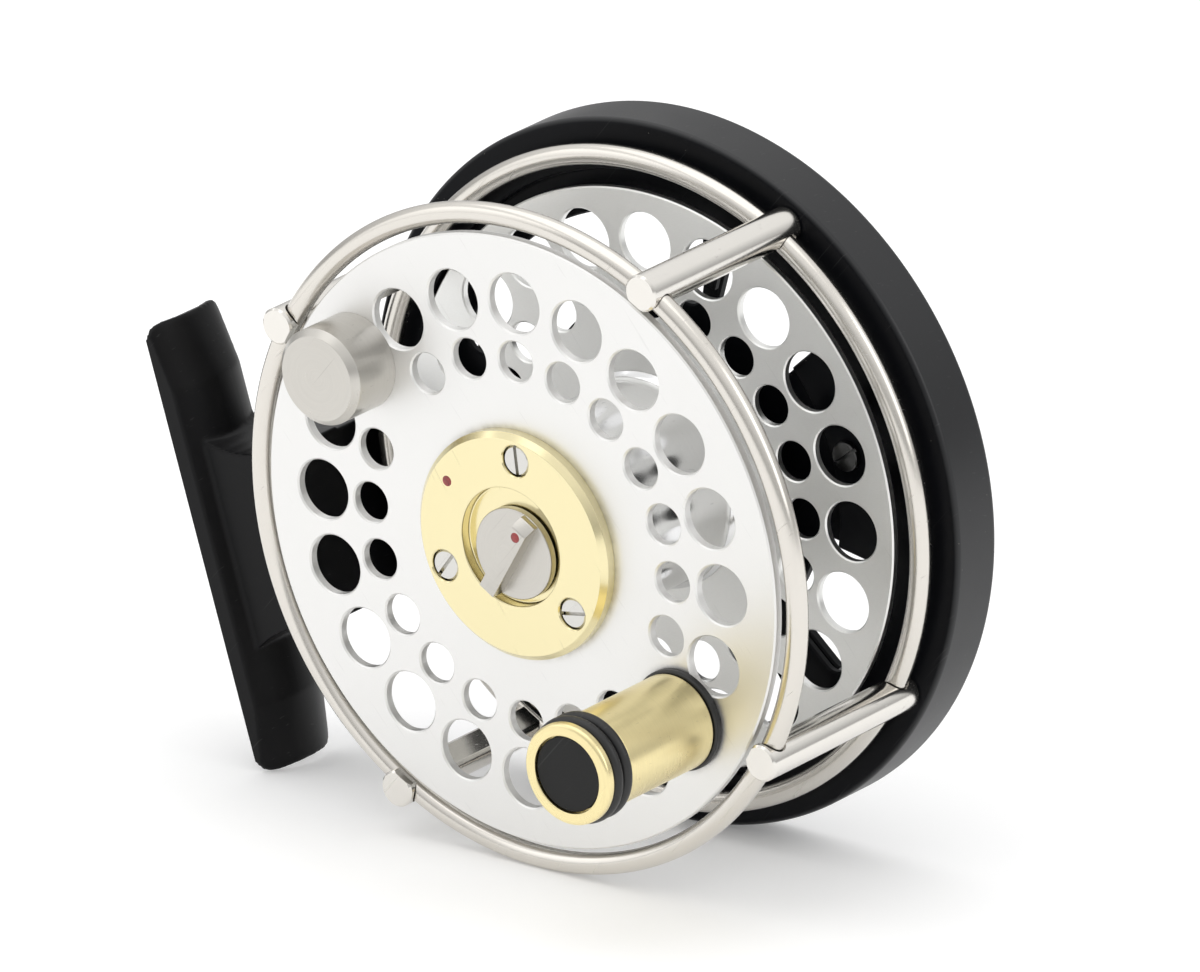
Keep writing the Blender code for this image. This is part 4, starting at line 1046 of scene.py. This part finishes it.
screws(
    "hub_screws", HUB_FACE_Y + 0.25, "spool", numbered("hub_screw", 3), count=3,
    ring_radius=HUB_SCREW_RING_R, first=HUB_SCREW_START, head_radius=HEAD_R + 0.05, head_height=1.0,
    chamfer=0.2, slot_width=0.5, slot_depth=0.85,
    slot_turn=radians(80), turn_each=radians(-43),
)
for number, angle in enumerate(PLATE_SCREW_ANGLES):
    screws(
        f"plate_screw_head_{number + 1}", WEB_YS[0] - 1.0, "frame", [f"plate_screw_{number + 1}"], count=1,
        ring_radius=PLATE_SCREW_RING_R, first=radians(angle), head_radius=HEAD_R, head_height=0.98,
        slot_turn=0.4 + number, finish="dark_fixings",
    )
screws(
    "drum_screws", REAR_FLANGE_Y + REAR_FLANGE_T + 0.9, "spool", numbered("drum_screw", 3), False, count=3,
    ring_radius=10.15, first=radians(68), head_radius=HEAD_R, head_height=0.85, slot_turn=0.2, turn_each=0.9,
)
screws(
    "housing_screws", 37.4, "frame", numbered("housing_screw", 3), False, count=3, ring_radius=19.4,
    first=pi / 3, head_radius=HEAD_R, head_height=1.05, slot_turn=1.0, turn_each=1.3,
)
for name, spot in (("handle_screw", HANDLE), ("counterweight_screw", WEIGHT)):
    screws(
        name + "_head", FLANGE_T + 1.35, "spool", [name], False, count=1, ring_radius=hypot(*spot),
        first=atan2(spot[1], spot[0]), head_radius=2.4, head_height=1.3, slot_turn=0.7,
    )

# %% [markdown]
# ## Hub plate
# The pale brass plate carries the release knob in a round recess. Its edge is bevelled, and three
# countersunk screws hold it. The knob's stem goes through its floor a little off centre.

# %% Hub plate
HUB_R, HUB_RECESS_R = 15.6, 8.1
hub = lathe(
    "hub_plate_piece",
    [
        (10.0, 0.9), (10.0, -0.02), (HUB_R, -0.02), (HUB_R, HUB_FACE_Y + 0.75, 0.08),
        (HUB_R - 0.75, HUB_FACE_Y, 0.08), (HUB_RECESS_R, HUB_FACE_Y, 0.2), (HUB_RECESS_R, HUB_FLOOR_Y, 0.2),
        (1.2, HUB_FLOOR_Y), (1.2, 0.9),
    ],
    steps=192,
)
hub_screw_spots = [polar(HUB_SCREW_RING_R, HUB_SCREW_START + turn * 2 * pi / 3) for turn in range(3)]
sinks = [drill("sink", spot, 2.16, HUB_FACE_Y, 0.4, 0.14) for spot in hub_screw_spots]
cut(hub, drill("stem_hole", (0, -KNOB_OFF), 5.2, HUB_FLOOR_Y, 0.9, 0.15, 96), *sinks)
settle(hub, "spool", ["hub_plate"], "plate")

# %% [markdown]
# A red drop marks the plate, where the knob's own mark points when the spool is released.


# %% Enamel drops
def enamel_drop(name, spot, y, radius, body):
    profile = [(0, y + 0.3), (radius, y + 0.3), (radius, y, 0.06), (radius * 0.6, y - 0.07), (0, y - 0.09)]
    drop = lathe(name, profile, spot, 32)
    settle(drop, body, [], "enamel")


enamel_drop("plate_mark", polar(12.4, radians(129.8)), HUB_FACE_Y, 0.75, "spool")

# %% [markdown]
# ## Release knob
# A stainless disc with a bar across it to turn it by, sloped at its upper end. The bar and the disc are
# joined by a Boolean union, and the bar's long edges are bevelled first.

# %% Release knob
KNOB_R, KNOB_Y, BAR_W, BAR_HEIGHT, BAR_TURN = 6.25, -1.9, 2.6, 2.0, radians(43)
knob = lathe(
    "release_knob_piece",
    [(0, 1.6), (4.9, 1.6), (4.9, -0.8), (KNOB_R, -0.8, 0.1), (KNOB_R, KNOB_Y, 0.22), (0, KNOB_Y)],
    (0, -KNOB_OFF), 128,
)
half = KNOB_R - 0.15
bar_outline = [
    (-half, KNOB_Y + 0.5), (-half, KNOB_Y - BAR_HEIGHT), (half - 1.2, KNOB_Y - BAR_HEIGHT),
    (half, KNOB_Y - BAR_HEIGHT * 0.35), (half, KNOB_Y + 0.5),
]
bm = bmesh.new()
sides = [[bm.verts.new((x, y, side * BAR_W / 2)) for x, y in bar_outline] for side in (-1, 1)]
bm.faces.new(sides[0])
bm.faces.new(sides[1][::-1])
for step in range(len(bar_outline)):
    turn = (step + 1) % len(bar_outline)
    bm.faces.new((sides[0][turn], sides[0][step], sides[1][step], sides[1][turn]))
bmesh.ops.recalc_face_normals(bm, faces=bm.faces)
bmesh.ops.bevel(bm, geom=bm.edges[:], offset=0.14, segments=2, affect="EDGES", profile=0.5)
bmesh.ops.transform(
    bm, matrix=Matrix.Translation((0, 0, -KNOB_OFF)) @ Matrix.Rotation(-BAR_TURN, 4, "Y"), verts=bm.verts
)
cut(knob, mesh_object("bar", bm), operation="UNION")
settle(knob, "release", ["release_knob"], "knob", 30)
mark = polar(3.9, BAR_TURN)
enamel_drop("knob_mark", (mark[0], mark[1] - KNOB_OFF), KNOB_Y - BAR_HEIGHT, 0.72, "release")

# %% [markdown]
# ## Counterweight
# A plain stainless slug that balances the handle. Its chamfer catches the light.

# %% Counterweight
weight = lathe(
    "counterweight_piece",
    [(0, -0.02), (6.6, -0.02), (6.6, -7.15, 0.1), (5.75, -8.1, 0.1), (0, -8.1)],
    WEIGHT, 128,
)
settle(weight, "spool", ["counterweight"], "weight", 30)

# %% [markdown]
# ## Handle
# A turned brass grip on a hidden post, with a black washer under it. Two rubber rings sit in a groove
# behind its rounded nose, and a black cap closes the end.

# %% Handle
NOSE_Y, GRIP_BACK_Y = -23.6, -1.25
grip = lathe(
    "handle_grip_piece",
    [
        (6.55, GRIP_BACK_Y, 0.25), (6.55, NOSE_Y + 5.1, 0.3), (5.3, NOSE_Y + 5.1, 0.1),
        (5.3, NOSE_Y + 1.35, 0.1),
        (6.9, NOSE_Y + 1.35, 0.2), (6.9, NOSE_Y, 0.55), (5.25, NOSE_Y, 0.18), (5.25, NOSE_Y + 1.3),
        (4.2, NOSE_Y + 1.3), (4.2, NOSE_Y + 3.5), (2.8, NOSE_Y + 3.5), (2.8, GRIP_BACK_Y),
    ],
    HANDLE, 160,
)
settle(grip, "handle", ["handle_grip"], "grip")
for number, y in enumerate((NOSE_Y + 2.35, NOSE_Y + 4.2)):
    turns = [2 * pi * side / 24 for side in range(24)]
    section = [(6.35 + 0.95 * cos(turn), y - 0.88 * sin(turn)) for turn in turns]
    seal = turn_profile(f"grip_seal_{number + 1}", section, HANDLE)
    settle(seal, "handle", [f"grip_o_ring_{number + 1}"], "seal")
CAP_R, CAP_YS = 5.1, (NOSE_Y + 0.35, NOSE_Y + 1.1)
cap = lathe("cap", [(0, CAP_YS[1]), (CAP_R, CAP_YS[1]), (CAP_R, CAP_YS[0], 0.15), (0, CAP_YS[0])], HANDLE)
settle(cap, "handle", ["handle_cap"], "cap")
washer = lathe(
    "washer", [(6.9, -0.02, 0.15), (6.9, -1.1, 0.35), (6.3, -1.1), (2.8, -1.15), (2.8, -0.02)], HANDLE
)
settle(washer, "spool", ["handle_washer"], "seal")

# %% [markdown]
# ## Foot
# The foot is a saddle: a curved plate that fits the rod, thinned at both ends to slide under the hoods
# of a reel seat. A stem joins it to the rim, flared where it meets the plate. The section is worked out
# from an arc, and lofted through four stations. The stem is joined on, and everything is remeshed and
# relaxed a little, which rounds every edge and fills the inner corners the way a cast part is.

# %% Foot sizes
FOOT_Y, FOOT_WIDTH, FOOT_HALF = 15.5, 14.0, 31.0
FOOT_UNDER_X, FOOT_HOLLOW, FOOT_ARC_R = -64.0, 2.0, 11.0
FOOT_RAMP, FOOT_THICK, FOOT_THIN = 9.0, (4.5, 2.4), (2.9, 0.8)  # heights at the middle and at the edge
STATIONS = (
    (-FOOT_HALF, *FOOT_THIN), (FOOT_RAMP - FOOT_HALF, *FOOT_THICK),
    (FOOT_HALF - FOOT_RAMP, *FOOT_THICK), (FOOT_HALF, *FOOT_THIN),
)


def foot_section(height, edge, count=25):
    """(y, x) round the foot: over the back, then under, round the hollow."""
    side = FOOT_WIDTH / 2
    drop = FOOT_ARC_R - sqrt(FOOT_ARC_R**2 - side**2)
    spread = [-side + FOOT_WIDTH * step / (count - 1) for step in range(count)]
    crown = [(sqrt(FOOT_ARC_R**2 - y**2) - FOOT_ARC_R + drop) / drop for y in spread]
    back = [(y, edge + (height - edge) * share) for y, share in zip(spread, crown)]
    under = [(y, FOOT_HOLLOW * share) for y, share in zip(spread, crown)]
    return back + under[::-1]


# %% Foot
def make_foot():
    loops = []
    for z, height, edge in STATIONS:
        loops.append([(FOOT_UNDER_X + x, FOOT_Y + y, z) for y, x in foot_section(height, edge)])
    foot = loft("foot", loops)
    corner, side = 2.2, FOOT_WIDTH / 2 + 0.1
    plan = []
    for y, z, start in (
        (side - corner, FOOT_HALF - corner, 0), (corner - side, FOOT_HALF - corner, pi / 2),
        (corner - side, corner - FOOT_HALF, pi), (side - corner, corner - FOOT_HALF, 3 * pi / 2),
    ):
        plan += arc_points((FOOT_Y + y, z), corner, start, start + pi / 2, 13)
    cut(foot, prism("plan", plan, "x", -70, -50), operation="INTERSECT")
    return foot


foot = make_foot()
print("foot:", len(foot.data.polygons), "faces before the stem")

# %% [markdown]
# The stem is an outline with flared roots. Its arm reaches back to the rim's full depth, its back slopes,
# and a seat is cut in it so that it clasps the rim.

# %% Stem
STEM_HALF, STEM_FLARE, ARM_TOP_X = 12.0, 4.0, -43.65
root_x = FOOT_UNDER_X + 1.3
flare = [(root_x + (ARM_TOP_X - root_x) * share, STEM_HALF + STEM_FLARE * (1 - share / 0.55) ** 2)
         for share in (0, 0.1, 0.2, 0.3, 0.4, 0.5)]
outline = flare + [(ARM_TOP_X, STEM_HALF)]
outline += [(x, -z) for x, z in outline[::-1]]
stem = prism("stem", outline, "y", 10.5, FOOT_Y + FOOT_WIDTH / 2 - 0.3)
arm_half, arm_root_x = STEM_HALF - 0.3, FOOT_UNDER_X + 2.5
arm_outline = [
    (arm_root_x, -arm_half), (ARM_TOP_X, -arm_half), (ARM_TOP_X, arm_half), (arm_root_x, arm_half),
]
arm = prism("arm", arm_outline, "y", FOOT_Y, RIM_BACK_Y)
cut(foot, stem, arm, operation="UNION")
slope = [(-69, 22.8), (-53, 38.25), (-53, 54), (-69, 54)]
seat = turn_profile(
    "seat", [(0, 38.4), (RIM_R + 0.25, 38.4), (RIM_R + 0.25, 0), (0, 0)], steps=256
)
cut(foot, prism("slope", slope, "z", -20, 20), seat)
remesh = foot.modifiers.new("Even", "REMESH")
remesh.mode = "VOXEL"
remesh.voxel_size = 0.25
relax = foot.modifiers.new("Relax", "SMOOTH")
relax.factor, relax.iterations = 0.5, 4
bake_modifiers(foot)
settle(foot, "frame", ["reel_foot"], "foot", 60)

# %% [markdown]
# ## Drag
# The drag sits in a cup on the back of the frame, and its knob sets how hard the disc is pressed. The
# knob's grip is fluted. Its outline is a circle with scoops, so the radius is worked out from the angle.

# %% Drag housing
housing = lathe(
    "drag_housing_piece",
    [
        (17.0, 40.05, 0.9), (17.0, 36.0, 0.8), (22.0, 36.0, 0.4), (22.0, 34.6, 0.2), (14.6, 34.6),
        (14.6, 38.5), (5.3, 38.5), (5.3, 40.05, 0.2),
    ],
    steps=160,
)
settle(housing, "frame", ["drag_housing"], "black")


# %% Drag knob
def fluted_radius(radius, angle, flutes=12, scoop=1.5, out=0.5):
    """The radius at this angle of a disc with round scoops cut into its side."""
    near = abs((angle * flutes / (2 * pi)) % 1.0)
    off = min(near, 1 - near) * 2 * pi / flutes
    centre = radius + out
    across = centre * sin(off)
    if abs(across) >= scoop:
        return radius
    return min(radius, centre * cos(off) - sqrt(scoop**2 - across**2))


def make_drag_knob(y_front=40.36, y_back=45.96, radius=11.0, steps=360):
    edge, loops = 0.8, []
    levels = [(5.0, 38.9), (5.0, y_front), (radius, y_front)]
    for step in range(6):
        turn = pi / 2 * step / 5
        levels.append((radius - edge + edge * cos(turn), y_back - edge + edge * sin(turn)))
    levels += [(radius - 2.2, y_back), (radius - 2.6, y_back - 0.35), (0.01, y_back - 0.35)]
    for level_radius, y in levels:
        inset = max(0.0, radius - level_radius)
        loop = []
        for step in range(steps):
            angle = 2 * pi * step / steps
            reach = level_radius
            if inset < 1.2:
                reach = min(level_radius, fluted_radius(radius, angle) - inset)
            x, z = polar(reach, angle)
            loop.append((x, y, z))
        loops.append(loop)
    return loft("drag_knob_piece", loops, ends=(0,))


settle(make_drag_knob(), "drag_knob", ["drag_knob"], "black", 30)

# %% [markdown]
# ## What stays as it is
# The parts inside the drag, the bearings, the latch, the spindle and the nuts are hidden or nearly so.
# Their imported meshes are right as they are, and they only need a finish.

# %% Hidden parts
HIDDEN = {
    "steel": [
        "spindle", "pressure_plate", "drag_spring", "front_bearing", "rear_bearing", "spool_latch",
        "handle_post",
    ],
    "rear_flange": ["bearing_spacer"],
    "disc": ["drag_disc"],
    "fixings": ["foot_screw_1", "foot_screw_2", *numbered("pillar_nut", PILLARS)],
}
for finish, names in HIDDEN.items():
    for name in names:
        mesh = frame["nodes"][name].data
        mesh.materials.clear()
        mesh.materials.append(MATERIALS[finish])
print(sum(len(names) for names in HIDDEN.values()), "packed nodes keep their own mesh")

# %% [markdown]
# ## Stage
# A wide white floor fills the view. It glows a little, so that it stays white far from the lamps and
# the shadows on it stay soft and pale.


# %% Floor
def make_floor():
    bm = bmesh.new()
    bmesh.ops.create_grid(bm, x_segments=1, y_segments=1, size=4.0)
    floor = mesh_object("floor", bm)
    material = bpy.data.materials.new("white floor")
    material.use_nodes = True
    shader = material.node_tree.nodes["Principled BSDF"]
    shader.inputs["Base Color"].default_value = (0.9, 0.9, 0.9, 1)
    shader.inputs["Roughness"].default_value = 0.9
    shader.inputs["Emission Color"].default_value = (1, 1, 1, 1)
    shader.inputs["Emission Strength"].default_value = 0.16
    floor.data.materials.append(material)


make_floor()

# %% [markdown]
# ## Light
# Metal shows what is around it, so the lamps are large and soft: one overhead, one on each side, and a
# dim grey world between them that leaves darker edges on the wire.


# %% Lamps and world
def softbox(name, place, target, width, height, power, tint=(1, 1, 1)):
    lamp = bpy.data.lights.new(name, "AREA")
    lamp.shape = "RECTANGLE"
    lamp.size, lamp.size_y = width, height
    lamp.energy = power
    lamp.color = tint
    holder = bpy.data.objects.new(name, lamp)
    bpy.context.scene.collection.objects.link(holder)
    holder.location = place
    holder.rotation_euler = (Vector(target) - Vector(place)).to_track_quat("-Z", "Y").to_euler()


AIM = (0.0, 0.0, 0.05)
softbox("overhead", (-0.15, -0.1, 1.0), AIM, 1.1, 1.1, 2.3)
softbox("front_left", (-0.9, -0.75, 0.45), AIM, 0.9, 0.8, 1.6)
softbox("right", (0.95, 0.1, 0.55), AIM, 0.5, 0.8, 1.6)
world = bpy.data.worlds.new("studio")
world.use_nodes = True
sky = world.node_tree
direction = put(sky, "ShaderNodeSeparateXYZ", {0: put(sky, "ShaderNodeTexCoord").outputs["Generated"]})
height = remap(sky, direction.outputs["Z"], 0.0, 0.6, 0.42, 1.0)
sky.links.new(triple(sky, height, height, height), sky.nodes["Background"].inputs["Color"])
bpy.context.scene.world = world
bpy.context.scene.view_settings.view_transform = "Standard"
print("lamps ready")

# %% [markdown]
# ## Camera
# A long lens from a few steps away keeps the circles nearly true ellipses. The camera looks at a point
# just beside the hub, from the front right and a little above.

# %% Camera
AZIMUTH, ELEVATION, ROLL = radians(38.12), radians(16.55), radians(1.25)
DISTANCE, LENS, BESIDE_HUB = 2.656, 615.3, (10.3 * MM, 7.3 * MM, 0)
towards = Vector((sin(AZIMUTH) * cos(ELEVATION), -cos(AZIMUTH) * cos(ELEVATION), sin(ELEVATION)))
camera_data = bpy.data.cameras.new("camera")
camera_data.lens = LENS
camera_data.sensor_width = 36
camera_data.clip_end = 20
camera = bpy.data.objects.new("camera", camera_data)
bpy.context.scene.collection.objects.link(camera)
turn = towards.to_track_quat("Z", "Y") @ Matrix.Rotation(ROLL, 3, "Z").to_quaternion()
target = ORIGIN + turn @ Vector(BESIDE_HUB)
camera.location = target + towards * DISTANCE
camera.rotation_euler = turn.to_euler()
bpy.context.scene.camera = camera
print("camera at", [round(value, 3) for value in camera.location])
